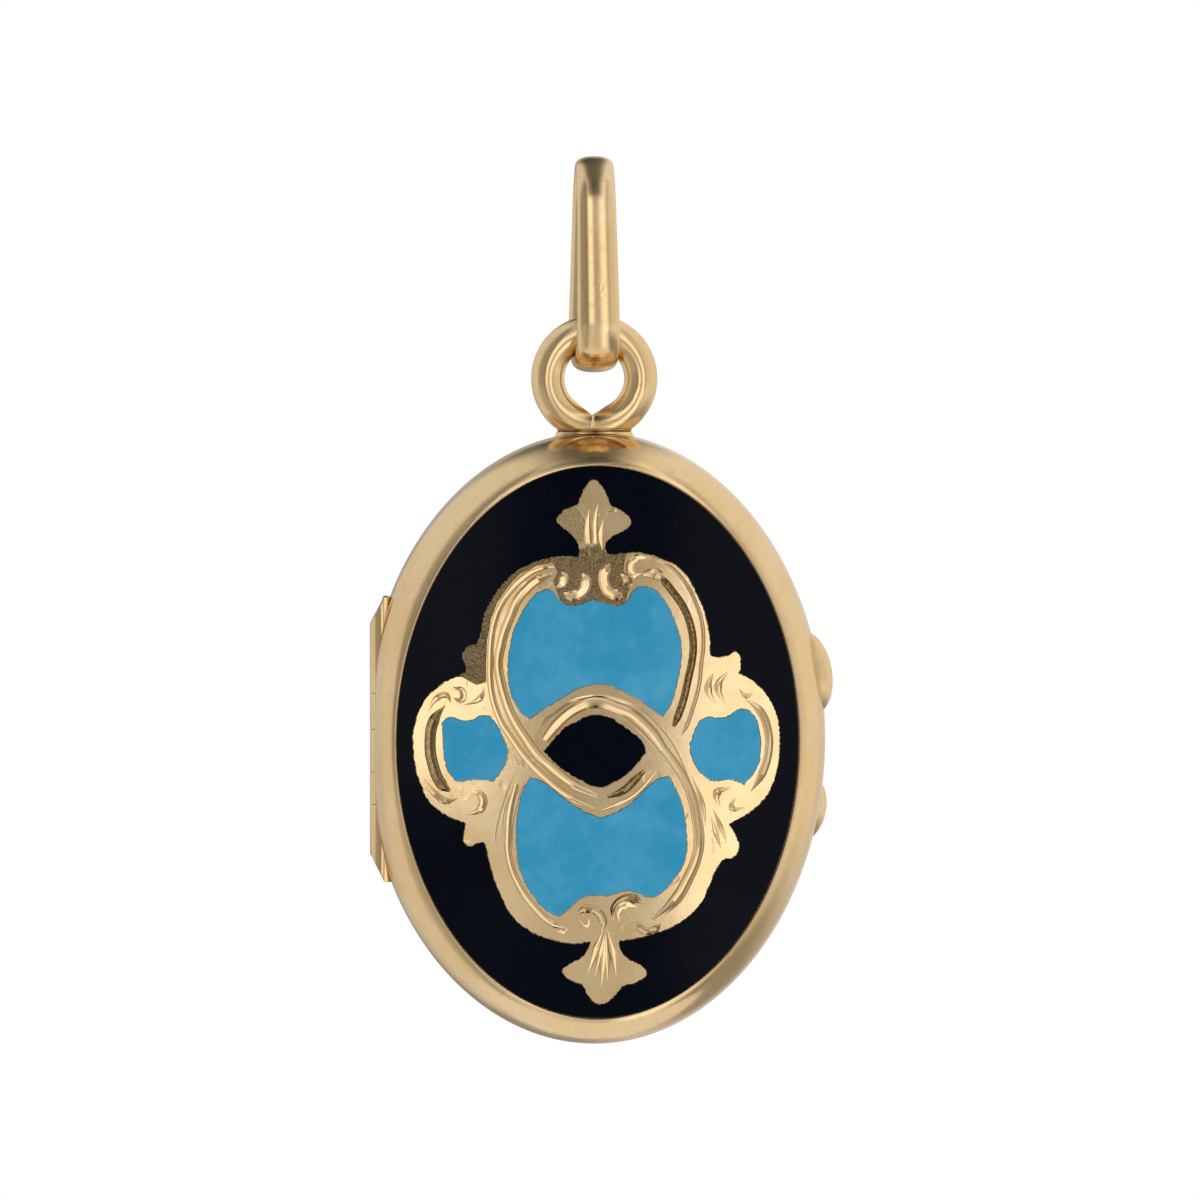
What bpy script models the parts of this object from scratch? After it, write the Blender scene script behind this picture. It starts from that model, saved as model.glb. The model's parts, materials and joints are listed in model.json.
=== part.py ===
"""An oval gold and enamel locket, built as its separate pieces.

Units are metres and +Z is up. The enamelled front faces -Y, the cover hinge is on the -X side and the thumb
catches are on the +X side. The origin is the point inside the top of the bail where a chain bears.
Shapes are worked out in case coordinates, from the middle of the closed case, and are then put in place.
The case is a turned shape stretched into an oval whose rim is equally wide all round, apart from the hinge
side, where it is flattened; every half width below is measured across, along X.
"""

import math

import bmesh
import bpy
from mathutils import Matrix, Vector

MM = 0.001

# Case
CASE_HALF_WIDTH = 9.22 * MM
CASE_HALF_HEIGHT = 12.22 * MM
RIM_WIDTH = 1.18 * MM
RIM_DEPTH = 2.4 * MM
SIDE_WALL_DEPTH = 0.55 * MM
PARTING_GAP = 0.06 * MM
EDGE_WALL = 0.5 * MM
LEDGE_DEPTH = 1.0 * MM
DOME_RISE = 0.45 * MM
FLOOR_THICKNESS = 0.35 * MM
BACK_THICKNESS = 0.45 * MM
HINGE_FLAT = 0.36 * MM
HINGE_FLAT_HALF_LENGTH = 6.5 * MM

# Enamel and the gold left between its cells
ENAMEL_DEPTH = 0.35 * MM
ENAMEL_SINK = 0.03 * MM
ENAMEL_GAP = 0.02 * MM
ENAMEL_SEAT_GAP = 0.04 * MM
ORNAMENT_SIDE_MARGIN = 0.72 * MM
ORNAMENT_END_MARGIN = 0.59 * MM
ORNAMENT_TURN = math.radians(1.1)

# Cover hinge
BARREL_RADIUS = 0.55 * MM
BARREL_SINK = 0.24 * MM
KNUCKLE_LENGTHS = (2.75 * MM, 1.45 * MM, 1.7 * MM, 1.3 * MM, 2.0 * MM)
KNUCKLE_GAP = 0.05 * MM
BARREL_SEAT_GAP = 0.04 * MM
TIP_LENGTH = 1.1 * MM
TIP_CHAMFER = 0.62 * MM
PIN_RADIUS = 0.25 * MM
PIN_GAP = 0.03 * MM
PIN_END_GAP = 0.1 * MM
COVER_OPENING = math.radians(130)
OPENING_CLEARANCE = math.radians(2)

# Closing rim, the inner band that the front cover snaps over
CLOSING_RIM_THICKNESS = 0.3 * MM
CLOSING_RIM_PROUD = 0.55 * MM
CLOSING_RIM_GAP = 0.04 * MM

# Photograph frames
BEZEL_TO_BARREL = 0.2 * MM
BEZEL_GAP = 0.03 * MM
BEZEL_WALL = 0.3 * MM
BEZEL_LIP = 0.55 * MM
BEZEL_LIP_THICKNESS = 0.16 * MM
BEZEL_TOP_DEPTH = 0.45 * MM
STACK_GAP = 0.02 * MM
CRYSTAL_THICKNESS = 0.45 * MM
PHOTO_THICKNESS = 0.12 * MM
PAD_THICKNESS = 0.3 * MM

# Thumb catches
FRONT_CATCH_HEIGHT = 2.67 * MM
BACK_CATCH_HEIGHT = -2.95 * MM
FRONT_CATCH_LENGTH = 2.9 * MM
BACK_CATCH_LENGTH = 2.3 * MM
FRONT_CATCH_PROUD = 0.51 * MM
BACK_CATCH_PROUD = 0.43 * MM
CATCH_THICKNESS = 1.2 * MM
CATCH_DEPTH = 0.72 * MM
CATCH_GAP = 0.02 * MM

# Ring and its saddle
RING_WIRE = 1.33 * MM
RING_MEAN_RADIUS = 1.86 * MM
RING_RISE = 2.18 * MM
SADDLE_RISE = 0.18 * MM
SADDLE_WIDTH = 3.4 * MM
SADDLE_DEPTH = 1.7 * MM
SADDLE_SKIRT = 0.35 * MM
SADDLE_GAP = 0.05 * MM
RING_SEAT_GAP = 0.02 * MM

# Bail
BAIL_HEIGHT = 8.65 * MM
BAIL_DEPTH = 4.2 * MM
BAIL_WIDTH = 1.7 * MM
BAIL_THICKNESS = 0.86 * MM
BAIL_TURN = math.radians(1.3)
BAIL_HANG_GAP = 0.08 * MM

# Facets
OVAL_STEPS = 48
RIM_STEPS = 5
DOME_STEPS = 4
OUTLINE_STEPS = 2
DOME_GRID = 2.0 * MM
HINGE_STEPS = 16
RING_STEPS = (36, 12)
BAIL_BEND_STEPS = 10
BAIL_SECTION_STEPS = 12
CATCH_STEPS = (20, 12)
WELD = 1e-7

# Sizes that follow from the ones above
FIELD_HALF_WIDTH = CASE_HALF_WIDTH - RIM_WIDTH
FIELD_HALF_HEIGHT = CASE_HALF_HEIGHT - RIM_WIDTH
CAVITY_HALF_WIDTH = CASE_HALF_WIDTH - EDGE_WALL
BARREL_LENGTH = sum(KNUCKLE_LENGTHS)
HINGE_X = -(CASE_HALF_WIDTH - BARREL_SINK - BARREL_RADIUS)
BORE_RADIUS = PIN_RADIUS + PIN_GAP
BEZEL_HALF_WIDTH = -HINGE_X - BARREL_RADIUS - BEZEL_TO_BARREL
POCKET_HALF_WIDTH = BEZEL_HALF_WIDTH + BEZEL_GAP
STACK_HALF_WIDTH = BEZEL_HALF_WIDTH - BEZEL_WALL - BEZEL_GAP
BAIL_LOW = 2 * BAIL_THICKNESS - BAIL_HEIGHT
SWING_Z = BAIL_LOW + BAIL_HANG_GAP + RING_WIRE / 2
RING_Z = CASE_HALF_HEIGHT + RING_RISE
CASE_CENTRE = Vector((0, 0, SWING_Z - RING_MEAN_RADIUS - RING_Z))

FRONT, BACK = -1, 1

# The ornament is drawn in millimetres from the middle of the enamel field, and is then fitted to the field.
# Each line of an outline starts at a corner and runs smoothly to the start of the next line.
CARTOUCHE_EDGE = [
    [(-0.6, 9.55), (-0.32, 10.15), (0.05, 10.5), (0.38, 10.17)],
    [(0.7, 9.45), (1.25, 9.15), (1.47, 8.78), (1.2, 8.5), (0.62, 8.18), (0.4, 7.78)],
    [(0.6, 7.49), (1.3, 7.56), (1.9, 7.53), (2.7, 7.28), (3.4, 6.9), (4.15, 5.65), (4.5, 4.45)],
    [(4.57, 3.48), (4.85, 3.38), (5.45, 3.58), (5.75, 3.35), (5.8, 2.92)],
    [(5.68, 2.64), (6.3, 2.28), (6.85, 1.65), (7.22, 0.75), (7.28, 0.0), (7.2, -1.0), (6.85, -2.05),
     (6.25, -2.75), (5.6, -3.15)],
    [(5.19, -3.38), (5.5, -4.0), (5.57, -4.35), (5.35, -4.7), (4.95, -4.8), (4.65, -5.15), (4.35, -5.8),
     (3.9, -6.65), (3.0, -7.35), (2.1, -7.7), (1.4, -7.87)],
    [(0.7, -7.95), (0.68, -8.25), (1.0, -8.7), (1.6, -9.05), (1.77, -9.3), (1.45, -9.6)],
    [(0.8, -9.77), (0.4, -10.25), (0.0, -10.49), (-0.38, -10.35)],
    [(-0.8, -9.67), (-1.4, -9.4), (-1.57, -9.15), (-1.35, -8.92), (-0.78, -8.6), (-0.48, -8.18)],
    [(-0.45, -7.95), (-1.2, -8.02), (-2.1, -7.8), (-2.8, -7.5), (-3.45, -6.98), (-4.0, -6.0), (-4.35, -4.95)],
    [(-4.55, -3.93), (-4.8, -3.85), (-5.2, -4.0), (-5.42, -3.85), (-5.42, -3.5)],
    [(-5.33, -3.07), (-5.95, -2.82), (-6.65, -2.32), (-7.15, -1.35), (-7.36, -0.2), (-7.33, 0.7),
     (-7.0, 1.65), (-6.2, 2.47), (-5.6, 2.75)],
    [(-5.17, 2.95), (-5.2, 3.25), (-5.32, 3.6), (-5.15, 3.92), (-4.78, 4.06)],
    [(-4.6, 4.33), (-4.5, 4.9), (-4.3, 5.5), (-3.8, 6.25), (-3.25, 6.8), (-2.6, 7.18), (-1.9, 7.4), (-1.2, 7.46)],
    [(-0.62, 7.45), (-0.57, 7.9), (-0.85, 8.35), (-1.25, 8.7), (-1.44, 8.98), (-1.2, 9.27)],
]
UPPER_CELL = [
    [(-0.12, 5.67), (0.45, 5.5), (0.87, 5.41), (1.27, 5.57), (1.6, 6.02), (1.78, 6.14), (2.2, 6.1), (2.6, 5.77),
     (3.1, 4.76), (3.34, 3.7), (3.22, 2.7), (2.9, 1.6)],
    [(2.62, 1.06), (1.53, 1.88), (1.0, 2.17), (0.15, 2.44), (-0.7, 2.3), (-1.68, 1.78)],
    [(-2.75, 1.1), (-3.13, 1.51), (-3.4, 2.2), (-3.47, 3.0), (-3.39, 3.84), (-3.13, 4.75), (-2.6, 5.65),
     (-2.08, 6.08), (-1.78, 6.08), (-1.42, 5.66), (-1.05, 5.47), (-0.6, 5.5)],
]
LOWER_CELL = [
    [(-2.7, -1.37), (-2.26, -1.58), (-1.19, -2.44), (-0.28, -2.96)],
    [(0.04, -3.06), (0.52, -2.93), (1.12, -2.62), (2.54, -1.5)],
    [(2.78, -1.45), (3.19, -2.4), (3.42, -4.05), (3.3, -4.85), (2.9, -5.48), (2.2, -6.12), (1.86, -6.16),
     (1.5, -5.99), (1.14, -5.89), (0.8, -5.93)],
    [(0.25, -6.07), (-0.34, -6.04), (-0.79, -6.13), (-1.25, -6.5)],
    [(-1.68, -6.86), (-2.06, -6.67), (-2.45, -6.3), (-3.0, -5.41), (-3.22, -4.6), (-3.24, -3.08), (-3.0, -1.97)],
]
LEFT_CELL = [
    [(-3.68, -0.2), (-3.75, -0.6)],
    [(-4.22, -1.36), (-5.05, -1.26), (-5.6, -1.33), (-5.9, -1.04), (-6.07, -0.51)],
    [(-6.14, 0.98), (-5.9, 1.09), (-5.37, 0.95), (-5.01, 0.97), (-4.69, 1.12), (-4.45, 1.13), (-4.17, 0.9),
     (-3.86, 0.29)],
]
RIGHT_CELL = [
    [(3.74, -0.13), (4.32, 0.85), (4.91, 0.81), (5.2, 0.86), (5.8, 1.17), (6.2, 0.92), (6.39, 0.42), (6.44, -0.5),
     (6.24, -1.22)],
    [(5.82, -1.73), (5.18, -1.52), (4.74, -1.57), (4.4, -1.48), (3.83, -0.69)],
]
CENTRE_CELL = [
    [(-2.16, -0.28), (-1.34, 0.59), (-0.81, 0.89), (-0.17, 1.11), (0.47, 1.0), (0.91, 0.72), (1.83, -0.1)],
    [(1.88, -0.42), (1.29, -1.09), (0.5, -1.6), (0.0, -1.75), (-0.73, -1.45), (-1.56, -0.89)],
]

DRAWN_POINTS = [place for line in CARTOUCHE_EDGE for place in line]
ORNAMENT_FIT_X = (FIELD_HALF_WIDTH - ORNAMENT_SIDE_MARGIN) / max(abs(x) for x, z in DRAWN_POINTS)
ORNAMENT_FIT_Z = (FIELD_HALF_HEIGHT - ORNAMENT_END_MARGIN) / max(abs(z) for x, z in DRAWN_POINTS)

# Colour, roughness and metallic value of each finish
FINISHES = {
    "gold": ((0.80, 0.57, 0.28), 0.24, 1.0),
    "navy_enamel": ((0.004, 0.006, 0.016), 0.08, 0.0),
    "turquoise_enamel": ((0.04, 0.28, 0.46), 0.16, 0.0),
    "crystal": ((0.92, 0.95, 0.95), 0.03, 0.0),
    "photo_paper": ((0.70, 0.62, 0.48), 0.7, 0.0),
    "pad_card": ((0.36, 0.28, 0.20), 0.9, 0.0),
}


def collection(name):
    """The scene's collection of this name, made if it isn't there."""
    found = bpy.data.collections.get(name)
    if found is None:
        found = bpy.data.collections.new(name)
        bpy.context.scene.collection.children.link(found)
    return found


def finish(name):
    """The material of this finish."""
    material = bpy.data.materials.get(name)
    if material is None:
        colour, roughness, metallic = FINISHES[name]
        material = bpy.data.materials.new(name)
        material.use_nodes = True
        shader = material.node_tree.nodes["Principled BSDF"]
        shader.inputs["Base Color"].default_value = (*colour, 1.0)
        shader.inputs["Roughness"].default_value = roughness
        shader.inputs["Metallic"].default_value = metallic
    return material


def pivot(name, place, parent=None):
    """An empty on a joint's axis, which carries the pieces of one moving body."""
    empty = bpy.data.objects.new(name, None)
    empty.empty_display_size = 2 * MM
    empty.location = place if parent is None else place - parent.location
    empty.parent = parent
    collection("locket").objects.link(empty)
    return empty


def add_part(name, mesh, look, carrier):
    """Makes a mesh in case coordinates a piece of the locket, with its origin on its carrier's axis."""
    bpy.context.view_layer.update()
    mesh.transform(Matrix.Translation(CASE_CENTRE - carrier.matrix_world.translation))
    mesh.materials.clear()
    mesh.materials.append(finish(look))
    mesh.shade_smooth()
    mesh.set_sharp_from_angle(angle=math.radians(35))
    piece = bpy.data.objects.new(name, mesh)
    piece.parent = carrier
    collection("locket").objects.link(piece)
    return piece


def add_cutter(name, mesh):
    """Makes a mesh in case coordinates a hidden cutter."""
    mesh.transform(Matrix.Translation(CASE_CENTRE))
    cutter = bpy.data.objects.new(name, mesh)
    cutter.hide_render = True
    cutter.display_type = "WIRE"
    collection("locket_cutters").objects.link(cutter)
    return cutter


def cut(piece, cutter):
    """Takes the cutter's shape out of a piece."""
    modifier = piece.modifiers.new("cut_" + cutter.name, "BOOLEAN")
    modifier.operation = "DIFFERENCE"
    modifier.object = cutter


def baked(obj):
    """The object's evaluated shape as a closed mesh that faces outwards; the object is removed."""
    if not obj.users_collection:
        collection("locket_cutters").objects.link(obj)
    bpy.context.view_layer.update()
    graph = bpy.context.evaluated_depsgraph_get()
    mesh = bpy.data.meshes.new_from_object(obj.evaluated_get(graph))
    mesh.transform(obj.matrix_world)
    bpy.data.objects.remove(obj)
    shape = bmesh.new()
    shape.from_mesh(mesh)
    bmesh.ops.remove_doubles(shape, verts=shape.verts, dist=WELD)
    bmesh.ops.recalc_face_normals(shape, faces=shape.faces)
    shape.to_mesh(mesh)
    shape.free()
    return mesh


def turned(profile, axis, steps, closed):
    """A profile of (radius, height) points turned once round the Y or the Z axis."""
    shape = bmesh.new()
    places = [(r, h, 0) if axis == "Y" else (r, 0, h) for r, h in profile]
    points = [shape.verts.new(place) for place in places]
    ends = points[1:] + points[:1] if closed else points[1:]
    for start, end in zip(points, ends):
        shape.edges.new((start, end))
    mesh = bpy.data.meshes.new("profile")
    shape.to_mesh(mesh)
    shape.free()
    obj = bpy.data.objects.new("profile", mesh)
    screw = obj.modifiers.new("turn", "SCREW")
    screw.axis = axis
    screw.steps = steps
    screw.render_steps = steps
    screw.use_merge_vertices = True
    screw.merge_threshold = WELD
    return baked(obj)


def turned_oval(profile, side, closed=False):
    """A profile of (half width, depth behind the parting plane) points as an oval shape on one side of it."""
    mesh = turned([(half_width, side * depth) for half_width, depth in profile], "Y", OVAL_STEPS, closed)
    for vertex in mesh.vertices:
        vertex.co.x, vertex.co.z = oval_place(vertex.co.x, vertex.co.z)
    return mesh


def oval_place(x, z):
    """Where a point of a turned shape goes in the oval: the field is stretched, and the rim is carried along."""
    reach = math.hypot(x, z)
    if reach <= FIELD_HALF_WIDTH:
        return x, z * FIELD_HALF_HEIGHT / FIELD_HALF_WIDTH
    height = z / reach * (reach + CASE_HALF_HEIGHT - CASE_HALF_WIDTH)
    if x < 0 and abs(height) < HINGE_FLAT_HALF_LENGTH:
        flat = HINGE_FLAT * (1 - (height / HINGE_FLAT_HALF_LENGTH) ** 2) ** 2
        x += flat * (reach - FIELD_HALF_WIDTH) / RIM_WIDTH
    return x, height


def slice_off(mesh, point, normal):
    """Cuts away what lies on the normal's side of a plane and closes the cut."""
    shape = bmesh.new()
    shape.from_mesh(mesh)
    geometry = shape.verts[:] + shape.edges[:] + shape.faces[:]
    made = bmesh.ops.bisect_plane(
        shape, geom=geometry, dist=WELD, plane_co=point, plane_no=normal, clear_outer=True
    )
    edges = [e for e in made["geom_cut"] if isinstance(e, bmesh.types.BMEdge)]
    bmesh.ops.holes_fill(shape, edges=edges, sides=0)
    bmesh.ops.recalc_face_normals(shape, faces=shape.faces)
    shape.to_mesh(mesh)
    shape.free()


def field_depth(share_squared):
    """Depth of the domed enamel surface, for the squared share of the way out from its middle to its edge."""
    return RIM_DEPTH - ENAMEL_SINK + DOME_RISE * (1 - share_squared)


def dome_profile(outer_half_width, sink):
    """(half width, depth) points of the dome lowered by sink, from the middle outwards."""
    points = []
    for step in range(DOME_STEPS + 1):
        half_width = outer_half_width * step / DOME_STEPS
        points.append((half_width, field_depth((half_width / FIELD_HALF_WIDTH) ** 2) - sink))
    return points


def rim_profile(grow=0.0):
    """(half width, depth) points over a cover's rounded rim, from the field to the parting edge."""
    points = []
    for step in range(RIM_STEPS + 1):
        angle = math.pi / 2 * (1 - step / RIM_STEPS)
        half_width = FIELD_HALF_WIDTH + (RIM_WIDTH + grow) * math.cos(angle)
        points.append((half_width, SIDE_WALL_DEPTH + (RIM_DEPTH - SIDE_WALL_DEPTH + grow) * math.sin(angle)))
    points.append((CASE_HALF_WIDTH + grow, PARTING_GAP / 2))
    return points


def inside_profile(plate):
    """(half width, depth) points of a cover's inside, from the parting edge to the middle of its floor."""
    floor = dome_profile(POCKET_HALF_WIDTH, plate)
    walls = [
        (CAVITY_HALF_WIDTH, PARTING_GAP / 2),
        (CAVITY_HALF_WIDTH, LEDGE_DEPTH),
        (POCKET_HALF_WIDTH, LEDGE_DEPTH),
    ]
    return walls + floor[::-1]


def hinge_relief():
    """Cutter that clears the hinge barrel and lets the covers swing apart."""
    radius = BARREL_RADIUS + BARREL_SEAT_GAP
    half_wedge = COVER_OPENING / 2 + OPENING_CLEARANCE
    sweep = math.pi - half_wedge
    reach = 3 * BARREL_RADIUS
    points = []
    for step in range(2 * HINGE_STEPS + 1):
        angle = sweep * (step / HINGE_STEPS - 1)
        points.append((radius * math.cos(angle), radius * math.sin(angle)))
    points.append((-reach, reach * math.tan(half_wedge)))
    points.append((-reach, -reach * math.tan(half_wedge)))
    half_length = BARREL_LENGTH / 2 + TIP_LENGTH + BARREL_SEAT_GAP
    mesh = flat_solid([poly_spline(points)], half_length)
    mesh.transform(Matrix.Translation((HINGE_X, 0, 0)))
    return add_cutter("hinge_relief", mesh)


def poly_spline(points):
    """A closed outline of straight stretches: a function that adds it to a curve."""
    def add(curve):
        spline = curve.splines.new("POLY")
        spline.points.add(len(points) - 1)
        for point, place in zip(spline.points, points):
            point.co = (*place, 0, 1)
        spline.use_cyclic_u = True
    return add


def drawn_spline(outline):
    """A closed outline of the ornament, fitted to the field: a function that adds it to a curve."""
    places = [(place, place is line[0]) for line in outline for place in line]
    turn = Matrix.Rotation(ORNAMENT_TURN, 4, "Z")

    def add(curve):
        spline = curve.splines.new("BEZIER")
        spline.bezier_points.add(len(places) - 1)
        for point, ((x, z), corner) in zip(spline.bezier_points, places):
            point.co = turn @ Vector((x * ORNAMENT_FIT_X, z * ORNAMENT_FIT_Z, 0))
            point.handle_left_type = "VECTOR" if corner else "AUTO"
            point.handle_right_type = point.handle_left_type
        spline.use_cyclic_u = True
    return add


def flat_solid(splines, half_thickness, inset=0.0):
    """A filled outline, drawn in the XY plane and thickened along Z, drawn in by inset all round."""
    curve = bpy.data.curves.new("outline", "CURVE")
    curve.dimensions = "2D"
    curve.fill_mode = "BOTH"
    curve.extrude = half_thickness
    curve.offset = -inset
    curve.resolution_u = OUTLINE_STEPS
    for add in splines:
        add(curve)
    return baked(bpy.data.objects.new("outline", curve))


def inlay(splines):
    """A filled outline as a thin sheet that follows the domed front, flush with its surface."""
    thickness = ENAMEL_DEPTH - ENAMEL_SEAT_GAP
    mesh = flat_solid(splines, thickness / 2, ENAMEL_GAP / 2)
    mesh.transform(Matrix.Rotation(math.pi / 2, 4, "X"))
    shape = bmesh.new()
    shape.from_mesh(mesh)
    for axis, reach in ((0, FIELD_HALF_WIDTH), (2, FIELD_HALF_HEIGHT)):
        count = math.floor(reach / DOME_GRID)
        for step in range(-count, count + 1):
            place, normal = Vector(), Vector()
            place[axis] = step * DOME_GRID
            normal[axis] = 1
            geometry = shape.verts[:] + shape.edges[:] + shape.faces[:]
            bmesh.ops.bisect_plane(shape, geom=geometry, dist=WELD, plane_co=place, plane_no=normal)
    for vertex in shape.verts:
        share_squared = (vertex.co.x / FIELD_HALF_WIDTH) ** 2 + (vertex.co.z / FIELD_HALF_HEIGHT) ** 2
        vertex.co.y -= field_depth(share_squared) - thickness / 2
    shape.to_mesh(mesh)
    shape.free()
    return mesh


def build_front(cover, relief):
    """Front cover with its enamel cells and the gold cartouche between them."""
    floor = dome_profile(FIELD_HALF_WIDTH, ENAMEL_DEPTH)
    profile = floor + rim_profile() + inside_profile(ENAMEL_DEPTH + FLOOR_THICKNESS)
    cut(add_part("front_cover", turned_oval(profile, FRONT), "gold", cover), relief)
    field_edge = []
    for step in range(OVAL_STEPS):
        angle = 2 * math.pi * step / OVAL_STEPS
        field_edge.append((FIELD_HALF_WIDTH * math.cos(angle), FIELD_HALF_HEIGHT * math.sin(angle)))
    cells = {
        "enamel_turquoise_upper": UPPER_CELL,
        "enamel_turquoise_lower": LOWER_CELL,
        "enamel_turquoise_left": LEFT_CELL,
        "enamel_turquoise_right": RIGHT_CELL,
        "enamel_navy_centre": CENTRE_CELL,
    }
    edge = drawn_spline(CARTOUCHE_EDGE)
    holes = [drawn_spline(outline) for outline in cells.values()]
    add_part("gold_cartouche", inlay([edge] + holes), "gold", cover)
    add_part("enamel_navy_field", inlay([poly_spline(field_edge), edge]), "navy_enamel", cover)
    for name, outline in cells.items():
        look = "navy_enamel" if "navy" in name else "turquoise_enamel"
        add_part(name, inlay([drawn_spline(outline)]), look, cover)


def build_back(case, relief):
    """Plain domed back cover and the closing rim inside its edge."""
    profile = dome_profile(FIELD_HALF_WIDTH, 0) + rim_profile() + inside_profile(BACK_THICKNESS)
    cut(add_part("back_cover", turned_oval(profile, BACK), "gold", case), relief)
    outer = CAVITY_HALF_WIDTH - CLOSING_RIM_GAP
    inner = outer - CLOSING_RIM_THICKNESS
    foot = LEDGE_DEPTH - STACK_GAP
    band = [(inner, foot), (outer, foot), (outer, -CLOSING_RIM_PROUD), (inner, -CLOSING_RIM_PROUD)]
    cut(add_part("closing_rim", turned_oval(band, BACK, closed=True), "gold", case), relief)


def build_frame(name, side, carrier):
    """Photograph frame of one cover: bezel, crystal, blank photograph and pad."""
    collar = BEZEL_HALF_WIDTH - BEZEL_WALL
    lip = collar - BEZEL_LIP
    under_lip = BEZEL_TOP_DEPTH + BEZEL_LIP_THICKNESS
    crystal_top = under_lip + STACK_GAP
    photo_top = crystal_top + CRYSTAL_THICKNESS + STACK_GAP
    pad_top = photo_top + PHOTO_THICKNESS + STACK_GAP
    foot = pad_top + PAD_THICKNESS
    ring = [
        (BEZEL_HALF_WIDTH, BEZEL_TOP_DEPTH),
        (BEZEL_HALF_WIDTH, foot),
        (collar, foot),
        (collar, under_lip),
        (lip, under_lip),
        (lip, BEZEL_TOP_DEPTH),
    ]
    add_part(name + "_bezel", turned_oval(ring, side, closed=True), "gold", carrier)
    layers = (
        ("crystal", crystal_top, CRYSTAL_THICKNESS, "crystal"),
        ("photo", photo_top, PHOTO_THICKNESS, "photo_paper"),
        ("pad", pad_top, PAD_THICKNESS, "pad_card"),
    )
    for layer, top, thickness, look in layers:
        bottom = top + thickness
        disc = [(0, top), (STACK_HALF_WIDTH, top), (STACK_HALF_WIDTH, bottom), (0, bottom)]
        add_part(f"{name}_{layer}", turned_oval(disc, side), look, carrier)


def build_hinge(case, cover):
    """Five knuckles, shared by the two covers in turn, on one pin."""
    top = BARREL_LENGTH / 2
    last = len(KNUCKLE_LENGTHS)
    place = Matrix.Translation((HINGE_X, 0, 0))
    for number, length in enumerate(KNUCKLE_LENGTHS, start=1):
        high, low = top - KNUCKLE_GAP / 2, top - length + KNUCKLE_GAP / 2
        if number in (1, last):
            up = 1 if number == 1 else -1
            near, far = (low, top) if number == 1 else (high, top - length)
            tip = far + up * TIP_LENGTH
            profile = [(0, tip), (BARREL_RADIUS, tip), (BARREL_RADIUS, near)]
            profile += [(BORE_RADIUS, near), (BORE_RADIUS, far), (0, far)]
            mesh = turned(profile, "Z", HINGE_STEPS, closed=False)
            slice_off(mesh, (-BARREL_RADIUS, 0, far), (-TIP_LENGTH, 0, up * TIP_CHAMFER))
        else:
            profile = [(BORE_RADIUS, high), (BARREL_RADIUS, high), (BARREL_RADIUS, low), (BORE_RADIUS, low)]
            mesh = turned(profile, "Z", HINGE_STEPS, closed=True)
        mesh.transform(place)
        add_part(f"hinge_knuckle_{number}", mesh, "gold", case if number % 2 else cover)
        top -= length
    half_pin = BARREL_LENGTH / 2 - PIN_END_GAP
    rod = [(0, half_pin), (PIN_RADIUS, half_pin), (PIN_RADIUS, -half_pin), (0, -half_pin)]
    pin = turned(rod, "Z", HINGE_STEPS, closed=False)
    pin.transform(place)
    add_part("hinge_pin", pin, "gold", case)


def build_catch(name, side, height, length, proud, carrier):
    """Thumbnail lobe on the free side of a cover's rim."""
    edge = CASE_HALF_WIDTH * math.sqrt(1 - (height / CASE_HALF_HEIGHT) ** 2)
    segments, rings = CATCH_STEPS
    bpy.ops.mesh.primitive_uv_sphere_add(segments=segments, ring_count=rings, radius=0.5)
    lobe = bpy.context.object
    lobe.scale = (2 * proud, CATCH_THICKNESS, length)
    lobe.location = (edge, side * CATCH_DEPTH, height)
    outline = [(0, RIM_DEPTH + CATCH_GAP)] + rim_profile(CATCH_GAP)[:-1]
    outline += [(CASE_HALF_WIDTH + CATCH_GAP, -RIM_DEPTH), (0, -RIM_DEPTH)]
    envelope = add_cutter(name + "_seat", turned_oval(outline, side))
    cut(add_part(name, baked(lobe), "gold", carrier), envelope)


def build_suspension(case):
    """Ring with its flattened foot, and the saddle that carries it on the back cover."""
    saddle_top = CASE_HALF_HEIGHT + SADDLE_RISE
    bpy.ops.mesh.primitive_torus_add(
        major_radius=RING_MEAN_RADIUS, minor_radius=RING_WIRE / 2, major_segments=RING_STEPS[0],
        minor_segments=RING_STEPS[1], rotation=(math.pi / 2, 0, 0), location=(0, 0, RING_Z)
    )
    ring = baked(bpy.context.object)
    slice_off(ring, (0, 0, saddle_top + RING_SEAT_GAP), (0, 0, -1))
    add_part("suspension_ring", ring, "gold", case)
    low = CASE_HALF_HEIGHT - SADDLE_SKIRT
    bpy.ops.mesh.primitive_cube_add(size=1, location=(0, 0, (saddle_top + low) / 2))
    block = bpy.context.object
    block.scale = (SADDLE_WIDTH, SADDLE_DEPTH, saddle_top - low)
    outline = [(0, SADDLE_DEPTH), (CASE_HALF_WIDTH + SADDLE_GAP, SADDLE_DEPTH)]
    outline += [(CASE_HALF_WIDTH + SADDLE_GAP, -SADDLE_DEPTH), (0, -SADDLE_DEPTH)]
    seat = add_cutter("saddle_seat", turned_oval(outline, BACK))
    cut(add_part("ring_saddle", baked(block), "gold", case), seat)


def bail_path():
    """Centre line of the bail: two straight legs and two round bends, as (depth, height) points."""
    bend = (BAIL_DEPTH - BAIL_THICKNESS) / 2
    high = BAIL_THICKNESS / 2 - bend
    low = BAIL_LOW - BAIL_THICKNESS / 2 + bend
    points = []
    for middle, start in ((high, 0), (low, math.pi)):
        for step in range(BAIL_BEND_STEPS + 1):
            angle = start + math.pi * step / BAIL_BEND_STEPS
            points.append((bend * math.cos(angle), middle + bend * math.sin(angle)))
    return points


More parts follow.
